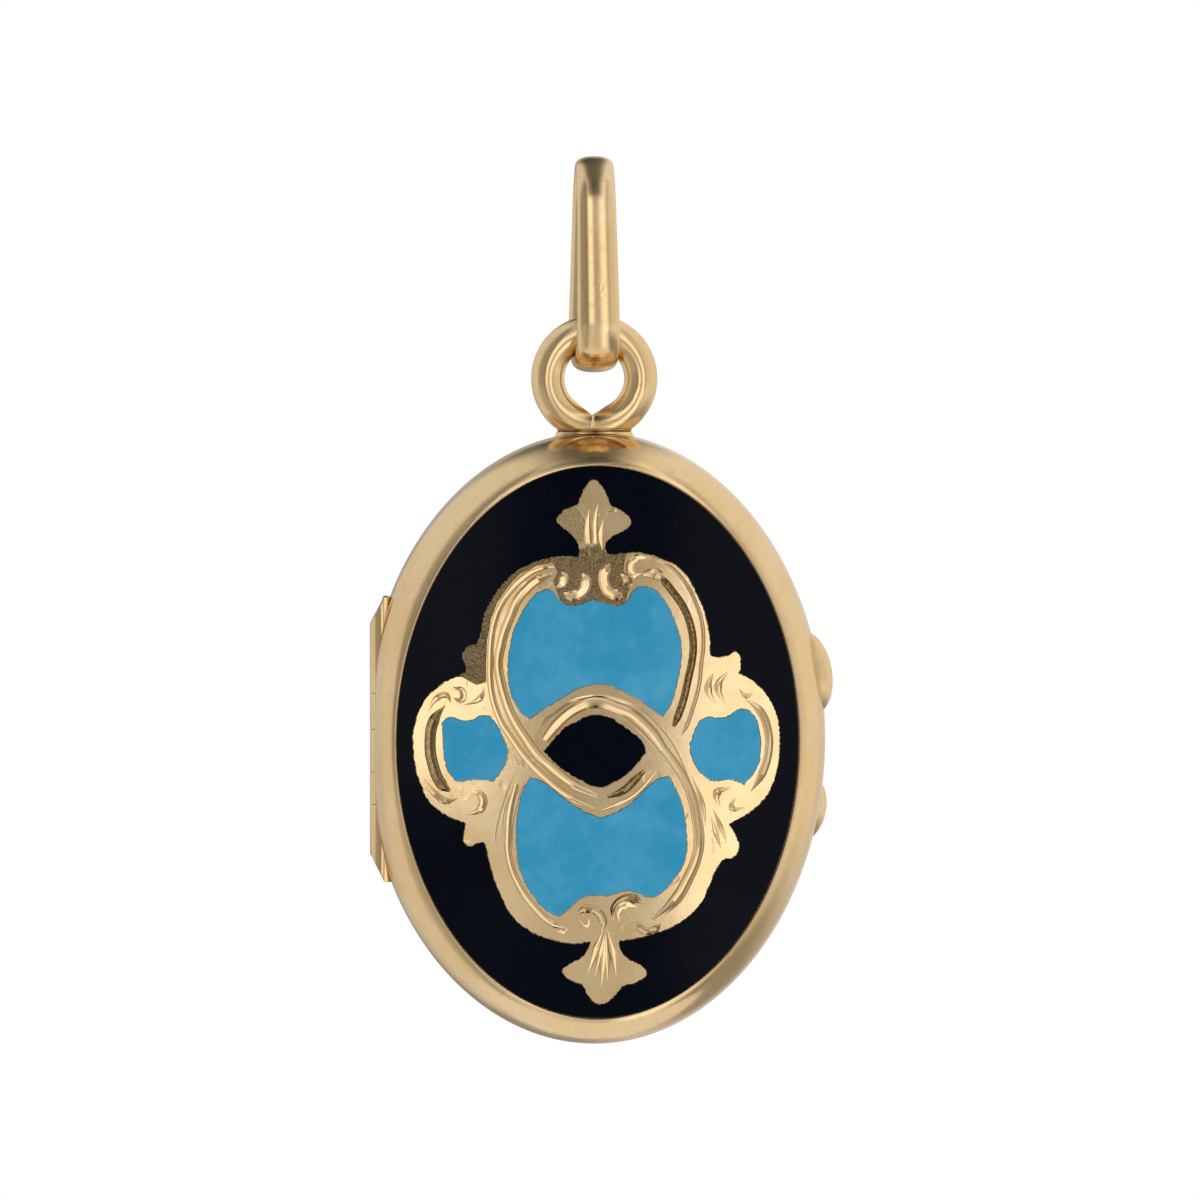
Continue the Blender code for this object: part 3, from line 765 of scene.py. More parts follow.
@dataclass
class CaseSizes:
    """Sizes of the closed case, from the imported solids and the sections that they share."""

    centre: Vector
    half_width: float
    half_height: float
    field_half_width: float
    field_half_height: float
    hinge_x: float
    barrel_radius: float
    bezel_half_width: float
    hinge_flat: float = 0.36 * MM
    hinge_flat_half_length: float = 6.5 * MM
    rim_depth: float = 2.4 * MM
    side_wall: float = 0.55 * MM
    parting: float = 0.03 * MM
    edge_wall: float = 0.5 * MM
    ledge: float = 1.0 * MM
    bezel_gap: float = 0.03 * MM
    dome_rise: float = 0.45 * MM
    enamel_depth: float = 0.35 * MM
    enamel_sink: float = 0.03 * MM
    floor: float = 0.35 * MM
    back_plate: float = 0.45 * MM
    lip: float = 0.08 * MM
    shoulder_start: float = 88.0
    shoulder_steps: int = 18
    shoulder_across_power: float = 1.3
    shoulder_depth_power: float = 1.22
    steps: int = 176

    @classmethod
    def from_frame(cls) -> CaseSizes:
        """Reads the case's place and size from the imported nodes.

        Returns:
            The sizes.
        """
        low, high = box_corners("front_cover", Vector())
        field_low, field_high = box_corners("enamel_navy_field", Vector())
        pin_low, pin_high = box_corners("hinge_pin", Vector())
        barrel_low, barrel_high = box_corners("hinge_knuckle_2", Vector())
        field_gap = 0.01 * MM
        return cls(
            centre=Vector((0, 0, (low.z + high.z) / 2)),
            half_width=high.x,
            half_height=(high.z - low.z) / 2,
            field_half_width=field_high.x + field_gap,
            field_half_height=(field_high.z - field_low.z) / 2 + field_gap,
            hinge_x=(pin_low.x + pin_high.x) / 2,
            barrel_radius=(barrel_high.x - barrel_low.x) / 2,
            bezel_half_width=box_corners("front_bezel", Vector())[1].x,
        )

    @property
    def cavity(self) -> float:
        """Half width of the space inside the edge wall."""
        return self.half_width - self.edge_wall

    @property
    def pocket(self) -> float:
        """Half width of the space that takes the bezel."""
        return self.bezel_half_width + self.bezel_gap

    def field_depth(self, x: Any, z: Any) -> Any:
        """Depth of the domed enamel surface in front of the parting plane, for numbers or arrays."""
        share = (x / self.field_half_width) ** 2 + (z / self.field_half_height) ** 2
        return self.rim_depth - self.enamel_sink + self.dome_rise * (1 - share)

    def stretch(self, piece: Piece) -> None:
        """Stretches a turned piece to the oval.

        The field is drawn out, the rim follows it, and the hinge side is flattened.

        Args:
            piece: the turned piece, about the Y axis.
        """
        places = read_points(piece)
        x, z = places[:, 0].copy(), places[:, 2].copy()
        reach = np.maximum(np.hypot(x, z), TINY)
        beyond = np.maximum(reach - self.field_half_width, 0.0)
        draw = self.field_half_height / self.field_half_width
        up = z / reach * np.where(beyond > 0, reach + self.half_height - self.half_width, reach * draw)
        flat = np.clip(1 - (up / self.hinge_flat_half_length) ** 2, 0, 1) ** 2 * (x < 0)
        places[:, 0] = x + self.hinge_flat * flat * beyond / (self.half_width - self.field_half_width)
        places[:, 2] = up
        write_points(piece, places)

    def oval(self, name: str, profile: Sequence[Point], side: Side, closed: bool = False) -> Piece:
        """Turns a profile into an oval piece.

        Args:
            name: the object's name.
            profile: (half width, depth) points.
            side: the side of the parting plane.
            closed: whether the profile runs back to its start.

        Returns:
            The object.
        """
        piece = lathe(name, [(r, side.value * d) for r, d in profile], self.steps, closed=closed)
        self.stretch(piece)
        return piece

    def shoulder(self) -> list[Point]:
        """Points over the rim, from beside the lip to the side wall: a nearly straight bevel that rounds off.

        Returns:
            (half width, depth) points.
        """
        start, rise = self.field_half_width + self.lip, self.rim_depth - self.side_wall
        points = []
        for angle in arc_points(self.shoulder_steps, self.shoulder_start, 0):
            across = (self.half_width - start) * math.cos(angle) ** self.shoulder_across_power
            up = rise * math.sin(angle) ** self.shoulder_depth_power
            points.append((start + across, self.side_wall + up))
        return points


@dataclass
class Case:
    """Front and back cover and the closing rim, turned and stretched to the oval."""

    sizes: CaseSizes
    opening: float = 130.0
    sharp: float = 18.0
    edge: float = 0.05 * MM
    inner_edge: float = 0.04 * MM
    line_width: float = 0.1 * MM
    line_depth: float = 0.06 * MM
    band_slack: float = 0.04 * MM
    band_wall: float = 0.3 * MM
    band_foot_gap: float = 0.02 * MM
    band_proud: float = 0.55 * MM
    band_taper: float = 0.1 * MM
    relief_gap: float = 0.03 * MM
    relief_ease: float = 2.0
    relief_reach: float = 1.5 * MM
    relief_steps: int = 40
    dome_steps: int = 14
    back_dome_steps: int = 24

    def build(self) -> None:
        """Makes the covers and the closing rim and cuts the hinge's relief into them."""
        s = self.sizes
        front = s.oval("front_shell", self._front_profile(), Side.FRONT)
        back = s.oval("back_shell", self._back_profile(), Side.BACK)
        band = s.oval("closing_band", self._band_profile(), Side.BACK, closed=True)
        for piece in (front, back, band):
            take_away(piece, self._hinge_relief())
            close_up(piece)
        outfit(front, Finishes.POLISHED_GOLD, "cover", ["front_cover"], s.centre, self.sharp)
        outfit(back, Finishes.POLISHED_GOLD, "case", ["back_cover"], s.centre, self.sharp)
        outfit(band, Finishes.INNER_GOLD, "case", ["closing_rim"], s.centre)

    def _dome(self, outer: float, sink: float, steps: int) -> list[Point]:
        """Points of the dome from its middle outwards.

        Args:
            outer: half width where it ends.
            sink: depth below the enamel's surface.
            steps: number of steps.

        Returns:
            (half width, depth) points.
        """
        reach = [outer * step / steps for step in range(steps + 1)]
        return [(r, self.sizes.field_depth(r, 0.0) - sink) for r in reach]

    def _rim(self) -> list[Point]:
        """Points over the rim: a narrow lip, the shoulder and the edge.

        Returns:
            (half width, depth) points.
        """
        s = self.sizes
        lip_mm = [(0.0, -0.04), (0.012, 0.0), (0.05, 0.012)]
        lip = [(s.field_half_width + x * MM, s.rim_depth + y * MM) for x, y in lip_mm]
        edge = [(s.half_width, s.parting + self.edge), (s.half_width - self.edge, s.parting)]
        return lip + s.shoulder() + edge

    def _inside(self, plate: float) -> list[Point]:
        """Points of a cover's inside, from the parting edge to the middle of its floor.

        Args:
            plate: thickness of the cover's plate below the enamel's surface.

        Returns:
            (half width, depth) points.
        """
        s = self.sizes
        edge = [(s.cavity + self.inner_edge, s.parting), (s.cavity, s.parting + self.inner_edge)]
        ledge = [(s.cavity, s.ledge), (s.pocket, s.ledge)]
        return edge + ledge + self._dome(s.pocket, plate, self.dome_steps)[::-1]

    def _front_profile(self) -> list[Point]:
        """Section of the front cover, with the recess that holds the enamel.

        Returns:
            (half width, depth) points.
        """
        s = self.sizes
        recess = self._dome(s.field_half_width, s.enamel_depth, self.dome_steps)
        return recess + self._rim() + self._inside(s.enamel_depth + s.floor)

    def _back_profile(self) -> list[Point]:
        """Section of the back cover, plain and domed, with a scribed line round its field.

        Returns:
            (half width, depth) points.
        """
        s = self.sizes
        dome = self._dome(s.field_half_width - self.line_width, 0.0, self.back_dome_steps)
        line = [(s.field_half_width - self.line_width / 2, s.rim_depth - self.line_depth)]
        return dome + line + self._rim() + self._inside(s.back_plate)

    def _band_profile(self) -> list[Point]:
        """Section of the closing rim, with a slight snap bead near its free edge.

        Returns:
            (half width, depth) points.
        """
        s = self.sizes
        outer, foot = s.cavity - self.band_slack, s.ledge - self.band_foot_gap
        inner, proud = outer - self.band_wall, -self.band_proud
        bead_mm = [(0.0, 0.1), (-0.02, 0.0), (-0.02, -0.2), (0.0, -0.3), (-0.03, -0.45)]
        bead = [(outer + x * MM, y * MM) for x, y in bead_mm]
        return [(inner, foot), (outer, foot), *bead, (outer - self.band_taper, proud), (inner, proud)]

    def _hinge_relief(self) -> Piece:
        """Cutter that clears the hinge barrel and lets the covers swing apart.

        Returns:
            The cutter.
        """
        s = self.sizes
        radius, reach = s.barrel_radius + self.relief_gap, self.relief_reach
        wedge = self.opening / 2 + self.relief_ease
        angles = arc_points(self.relief_steps, wedge - 180, 180 - wedge)
        far = reach * math.tan(math.radians(wedge))
        points = [(radius * math.cos(a), radius * math.sin(a)) for a in angles]
        points += [(-reach, far), (-reach, -far)]
        top = box_corners("hinge_knuckle_1", s.centre)[1].z
        curve = flat_curve("hinge_relief", top + self.relief_gap)
        add_straight(curve, points)
        cutter = as_mesh(curve, "hinge_relief")
        cutter.data.transform(Matrix.Translation((s.hinge_x, 0, 0)))
        return cutter


# Ornament of the front, drawn in millimetres from the middle of the field. Each line of an outline starts at
# a corner and runs smoothly to the start of the next line.

CARTOUCHE_EDGE: Outline = (
    ((-0.6, 9.55), (-0.32, 10.15), (0.05, 10.5), (0.38, 10.17)),
    ((0.7, 9.45), (1.25, 9.15), (1.47, 8.78), (1.2, 8.5), (0.62, 8.18), (0.4, 7.78)),
    ((0.6, 7.49), (1.3, 7.56), (1.9, 7.53), (2.7, 7.28), (3.4, 6.9), (4.15, 5.65), (4.5, 4.45)),
    ((4.55, 3.41), (4.85, 3.29), (5.3, 3.37), (5.6, 3.5), (5.76, 3.3), (5.76, 2.98)),
    ((5.68, 2.64), (6.3, 2.28), (6.85, 1.65), (7.22, 0.75), (7.28, 0.0), (7.2, -1.0), (6.85, -2.05),
     (6.25, -2.75), (5.6, -3.15)),
    ((5.19, -3.38), (5.5, -4.0), (5.57, -4.35), (5.35, -4.7), (4.95, -4.8), (4.65, -5.15), (4.35, -5.8),
     (3.9, -6.65), (3.0, -7.35), (2.1, -7.7), (1.4, -7.87)),
    ((0.7, -7.95), (0.68, -8.25), (1.0, -8.7), (1.6, -9.05), (1.77, -9.3), (1.45, -9.6)),
    ((0.8, -9.77), (0.4, -10.25), (0.0, -10.49), (-0.38, -10.35)),
    ((-0.8, -9.67), (-1.4, -9.4), (-1.57, -9.15), (-1.35, -8.92), (-0.78, -8.6), (-0.48, -8.18)),
    ((-0.45, -7.95), (-1.2, -8.02), (-2.1, -7.8), (-2.8, -7.5), (-3.45, -6.98), (-4.0, -6.0), (-4.35, -4.95)),
    ((-4.55, -3.93), (-4.8, -3.85), (-5.2, -4.0), (-5.42, -3.85), (-5.42, -3.5)),
    ((-5.33, -3.07), (-5.95, -2.82), (-6.65, -2.32), (-7.15, -1.35), (-7.36, -0.2), (-7.33, 0.7),
     (-7.0, 1.65), (-6.2, 2.47), (-5.6, 2.75)),
    ((-5.17, 2.95), (-5.2, 3.25), (-5.32, 3.6), (-5.15, 3.92), (-4.78, 4.06)),
    ((-4.6, 4.33), (-4.5, 4.9), (-4.3, 5.5), (-3.8, 6.25), (-3.25, 6.8), (-2.6, 7.18), (-1.9, 7.4),
     (-1.2, 7.46)),
    ((-0.62, 7.45), (-0.57, 7.9), (-0.85, 8.35), (-1.25, 8.7), (-1.44, 8.98), (-1.2, 9.27)),
)
UPPER_CELL: Outline = (
    ((-0.12, 5.67), (0.45, 5.5), (0.87, 5.41), (1.27, 5.57), (1.6, 6.02), (1.78, 6.14), (2.2, 6.1),
     (2.6, 5.77), (3.1, 4.76), (3.34, 3.7), (3.22, 2.7), (2.9, 1.6)),
    ((2.62, 1.06), (1.53, 1.88), (1.0, 2.17), (0.15, 2.44), (-0.7, 2.3), (-1.68, 1.78)),
    ((-2.75, 1.1), (-3.13, 1.51), (-3.4, 2.2), (-3.47, 3.0), (-3.39, 3.84), (-3.13, 4.75), (-2.6, 5.65),
     (-2.08, 6.08), (-1.78, 6.08), (-1.42, 5.66), (-1.05, 5.47), (-0.6, 5.5)),
)
LOWER_CELL: Outline = (
    ((-2.7, -1.37), (-2.26, -1.58), (-1.19, -2.44), (-0.28, -2.96)),
    ((0.04, -3.06), (0.52, -2.93), (1.12, -2.62), (2.54, -1.5)),
    ((2.78, -1.45), (3.19, -2.4), (3.42, -4.05), (3.3, -4.85), (2.9, -5.48), (2.2, -6.12), (1.86, -6.16),
     (1.5, -5.99), (1.14, -5.89), (0.8, -5.93)),
    ((0.25, -6.07), (-0.34, -6.04), (-0.79, -6.13), (-1.25, -6.5)),
    ((-1.68, -6.86), (-2.06, -6.67), (-2.45, -6.3), (-3.0, -5.41), (-3.22, -4.6), (-3.24, -3.08),
     (-3.0, -1.97)),
)
LEFT_CELL: Outline = (
    ((-3.68, -0.2), (-3.75, -0.6)),
    ((-4.22, -1.36), (-5.05, -1.26), (-5.6, -1.33), (-5.9, -1.04), (-6.07, -0.51)),
    ((-6.14, 0.98), (-5.9, 1.09), (-5.37, 0.95), (-5.01, 0.97), (-4.69, 1.12), (-4.45, 1.13), (-4.17, 0.9),
     (-3.86, 0.29)),
)
RIGHT_CELL: Outline = (
    ((3.74, -0.13), (4.32, 0.85), (4.91, 0.81), (5.2, 0.86), (5.8, 1.17), (6.2, 0.92), (6.39, 0.42),
     (6.44, -0.5), (6.24, -1.22)),
    ((5.82, -1.73), (5.18, -1.52), (4.74, -1.57), (4.4, -1.48), (3.83, -0.69)),
)
CENTRE_CELL: Outline = (
    ((-2.16, -0.28), (-1.34, 0.59), (-0.81, 0.89), (-0.17, 1.11), (0.47, 1.0), (0.91, 0.72), (1.83, -0.1)),
    ((1.88, -0.42), (1.29, -1.09), (0.5, -1.6), (0.0, -1.75), (-0.73, -1.45), (-1.56, -0.89)),
)


def grown(outline: Outline, by: float) -> Outline:
    """An outline with each point moved outwards, for cells that are filed a little open.

    Args:
        outline: the outline's lines.
        by: how far, in the outline's own measure.

    Returns:
        The outline's lines, moved.
    """
    points = np.array([place for line in outline for place in line])
    along = np.roll(points, -1, axis=0) - np.roll(points, 1, axis=0)
    along /= np.linalg.norm(along, axis=1)[:, None]
    after = np.roll(points, -1, axis=0)
    turn = np.sign(np.sum(points[:, 0] * after[:, 1] - points[:, 1] * after[:, 0]))
    moved = iter(points + turn * by * np.stack([along[:, 1], -along[:, 0]], axis=1))
    return [[tuple(next(moved)) for _ in line] for line in outline]


def drawn(outline: Outline, steps: int = 14, pull: float = 0.39) -> np.ndarray:
    """Points along an outline, smooth within its lines and cornered between them.

    Args:
        outline: the outline's lines.
        steps: steps between two of its points.
        pull: how far a point's tangent reaches, as a share of the stretch beside it.

    Returns:
        The points as rows.
    """
    points = np.array([place for line in outline for place in line])
    corner = np.array([index == 0 for line in outline for index in range(len(line))])[:, None]
    ahead = np.roll(points, -1, axis=0) - points
    length = np.linalg.norm(ahead, axis=1)[:, None]
    along = ahead / length + np.roll(ahead / length, 1, axis=0)
    along /= np.linalg.norm(along, axis=1)[:, None]
    leave = points + np.where(corner, ahead / 3, along * length * pull)
    behind, reach = np.roll(ahead, 1, axis=0), np.roll(length, 1, axis=0)
    arrive = points - np.where(corner, behind / 3, along * reach * pull)
    ends, arrive = np.roll(points, -1, axis=0), np.roll(arrive, -1, axis=0)
    shares = np.arange(steps)[None, :, None] / steps
    weights = ((1 - shares) ** 3, 3 * shares * (1 - shares) ** 2, 3 * shares ** 2 * (1 - shares), shares ** 3)
    parts = (part[:, None] for part in (points, leave, arrive, ends))
    return sum(weight * part for weight, part in zip(weights, parts)).reshape(-1, 2)


@dataclass(frozen=True)
class Stroke:
    """One engraved cut: its tool, its width in millimetres, its line in the photograph's pixels and its ends.

    An end of 0 runs out to a point, and an end of 1 is cut off at full width. The tone is the strength of the
    painted shade in the cut, from 0, none, to 1, the darkest.
    """

    tool: Graver
    width: float
    line: Sequence[Point]
    ends: tuple[float, float] = (0.0, 0.0)
    # strength of the painted shade in the cut
    tone: float = 0.3


GOUGE, SHAVE, BURIN = Graver.GOUGE, Graver.SHAVE, Graver.BURIN

STRAP_CUTS = (
    Stroke(GOUGE, 0.26, ((556, 566), (538, 568), (523, 577), (511, 589), (501, 604), (495, 619), (491, 640),
           (490, 663), (490, 678), (492, 694), (496, 709), (502, 723), (511, 737), (526, 758), (549, 781),
           (572, 798), (595, 808)), (0.2, 0.3), 0.1),
    Stroke(GOUGE, 0.38, ((552, 573), (538, 579), (526, 589), (517, 600), (511, 614), (505, 629), (501, 644),
           (498, 663), (500, 678), (504, 694), (509, 709), (516, 723), (525, 737), (537, 754), (549, 765),
           (572, 783), (597, 795)), (0.3, 0.5), 0.2),
    Stroke(GOUGE, 0.46, ((643, 574), (654, 573), (661, 576)), (0.5, 0.9), 0.28),
    Stroke(GOUGE, 0.31, ((659, 575), (666, 583), (673, 592), (681, 603), (687, 615), (691, 628), (693, 643),
           (692, 659), (688, 678), (683, 700), (677, 717), (673, 726)), (0.6, 0.5), 1.0),
    Stroke(GOUGE, 0.17, ((655, 559), (669, 566), (680, 576), (690, 591), (697, 606), (702, 624), (703, 647),
           (701, 663), (699, 683), (693, 706), (686, 726), (681, 735)), (0.0, 0.3), 0.7),
    Stroke(GOUGE, 0.31, ((607, 796), (623, 790), (634, 780), (644, 770)), (0.5, 0.5), 1.0),
    Stroke(GOUGE, 0.15, ((601, 810), (615, 805), (631, 797), (646, 783), (656, 771)), (0.3, 0.3), 0.28),
    Stroke(GOUGE, 0.46, ((544, 739), (557, 723), (568, 713), (580, 706), (591, 702), (600, 702), (615, 707),
           (631, 714), (643, 724), (654, 736), (663, 749)), (0.7, 0.8), 0.28),
    Stroke(GOUGE, 0.36, ((662, 747), (672, 760), (685, 781), (692, 800), (696, 820), (698, 837), (696, 856),
           (686, 880), (673, 901), (652, 920)), (0.9, 0.2), 0.28),
    Stroke(BURIN, 0.13, ((534, 736), (545, 719), (557, 710), (572, 700), (587, 696), (600, 695), (615, 698),
           (633, 705), (646, 714), (661, 730), (673, 746), (680, 760), (688, 780), (696, 798), (701, 820),
           (703, 837), (701, 856), (692, 880), (680, 901), (662, 918)), (0.3, 0.0), 0.1),
    Stroke(BURIN, 0.1, ((612, 711), (631, 723), (643, 734), (654, 746), (664, 760)), (0.0, 0.3), 0.1),
    Stroke(GOUGE, 0.2, ((691, 775), (702, 803), (706, 829)), tone=0.4),
    Stroke(GOUGE, 0.28, ((516, 783), (510, 809), (508, 832), (509, 858), (519, 885), (535, 908), (553, 924),
           (566, 928)), (0.7, 0.1), 0.28),
    Stroke(BURIN, 0.1, ((514, 773), (505, 795), (498, 817), (495, 832), (496, 851)), (0.2, 0.0), 0.1),
    Stroke(BURIN, 0.08, ((507, 800), (504, 809), (502, 824), (503, 834)), tone=0.1),
    Stroke(BURIN, 0.12, ((526, 777), (518, 797), (513, 817), (511, 836), (513, 859)), (0.2, 0.0), 0.0),
    Stroke(BURIN, 0.12, ((513, 753), (518, 763), (525, 768)), tone=0.4),
    Stroke(BURIN, 0.12, ((526, 724), (533, 736)), tone=0.4),
)
LEFT_CUTS = (
    Stroke(GOUGE, 0.45, ((445, 704), (434, 719), (430, 740), (433, 764), (442, 784),
           (450, 790)), (0.1, 0.3), 0.7),
    Stroke(GOUGE, 0.25, ((428, 710), (437, 697), (446, 694), (451, 702))),
    Stroke(GOUGE, 0.28, ((453, 686), (462, 690), (461, 699), (453, 697))),
    Stroke(GOUGE, 0.28, ((424, 778), (435, 793), (446, 800), (458, 797))),
    Stroke(GOUGE, 0.35, ((469, 790), (481, 795), (481, 807), (468, 814))),
    Stroke(GOUGE, 0.25, ((484, 686), (480, 697), (463, 704))),
)
RIGHT_CUTS = (
    Stroke(GOUGE, 0.33, ((745, 699), (760, 711), (768, 730), (769, 750), (762, 775), (751, 792)), (0.1, 0.1)),
    Stroke(GOUGE, 0.33, ((713, 673), (708, 688), (715, 704))),
    Stroke(GOUGE, 0.33, ((728, 671), (718, 686), (725, 704))),
    Stroke(BURIN, 0.15, ((724, 685), (729, 698))),
    Stroke(GOUGE, 0.2, ((739, 689), (746, 696), (754, 692))),
    Stroke(GOUGE, 0.35, ((730, 788), (717, 793), (720, 807))),
    Stroke(GOUGE, 0.25, ((735, 798), (732, 808), (745, 808))),
    Stroke(GOUGE, 0.22, ((713, 809), (720, 826), (727, 843))),
    Stroke(GOUGE, 0.24, ((711, 816), (716, 833), (721, 849))),
    Stroke(BURIN, 0.16, ((711, 839), (717, 854))),
)
TOP_CUTS = (
    Stroke(SHAVE, 0.33, ((589, 509), (587, 530), (590, 555), (593, 567)), tone=0.35),
    Stroke(SHAVE, 0.22, ((598, 503), (595, 520), (595, 540), (595, 559)), tone=0.35),
    Stroke(SHAVE, 0.26, ((603, 519), (600, 533), (602, 550)), tone=0.35),
    Stroke(SHAVE, 0.24, ((577, 506), (586, 520)), tone=0.4),
    Stroke(SHAVE, 0.26, ((611, 508), (602, 516)), tone=0.4),
    Stroke(GOUGE, 0.42, ((560, 569), (564, 576), (561, 584), (553, 586)), tone=0.15),
    Stroke(GOUGE, 0.5, ((579, 570), (586, 580), (582, 591), (572, 595), (560, 590)), tone=0.15),
    Stroke(GOUGE, 0.5, ((613, 560), (605, 571), (604, 582), (609, 591), (618, 594), (624, 591)), tone=0.15),
    Stroke(GOUGE, 0.4, ((616, 571), (625, 579), (622, 589))),
    Stroke(SHAVE, 0.34, ((646, 557), (636, 558), (630, 565), (633, 574), (641, 573)), (0.2, 0.0), 0.4),
)
BOTTOM_CUTS = (
    Stroke(SHAVE, 0.34, ((603, 930), (597, 948), (588, 974))),
    Stroke(SHAVE, 0.26, ((604, 936), (600, 954), (594, 978))),
    Stroke(SHAVE, 0.34, ((605, 934), (603, 960), (601, 988))),
    Stroke(SHAVE, 0.26, ((606, 936), (607, 958), (608, 981))),
    Stroke(SHAVE, 0.34, ((607, 930), (612, 950), (616, 976))),
    Stroke(GOUGE, 0.34, ((575, 915), (585, 909), (597, 912), (603, 922), (601, 932)), tone=0.45),
    Stroke(SHAVE, 0.26, ((578, 920), (586, 926), (589, 918)), tone=0.6),
    Stroke(GOUGE, 0.42, ((613, 920), (615, 909), (622, 901), (634, 899), (643, 903)), tone=0.55),
    Stroke(SHAVE, 0.3, ((619, 923), (618, 912), (626, 905), (637, 907)), tone=0.6),
    Stroke(GOUGE, 0.3, ((639, 920), (640, 928), (648, 932), (656, 929), (661, 922)), tone=0.5),
    Stroke(SHAVE, 0.2, ((553, 929), (562, 932), (569, 928)), tone=0.5),
)
TONED_GROUND = (
    (1.0, ((552, 561), (552, 546), (580, 550), (580, 543), (602, 543), (604, 550), (629, 546), (624, 561),
     (623, 570), (631, 577), (633, 584), (628, 590), (622, 610), (564, 610), (556, 589), (553, 580),
     (557, 571))),
    (1.0, ((552, 562), (538, 564), (520, 573), (508, 586), (497, 602), (491, 618), (487, 640), (486, 663),
     (486, 681), (476, 684), (462, 676), (450, 676), (450, 640), (470, 600), (495, 565), (530, 546),
     (552, 546))),
    (0.8, ((548, 517), (577, 503), (585, 520), (583, 541), (573, 542), (560, 534))),
)


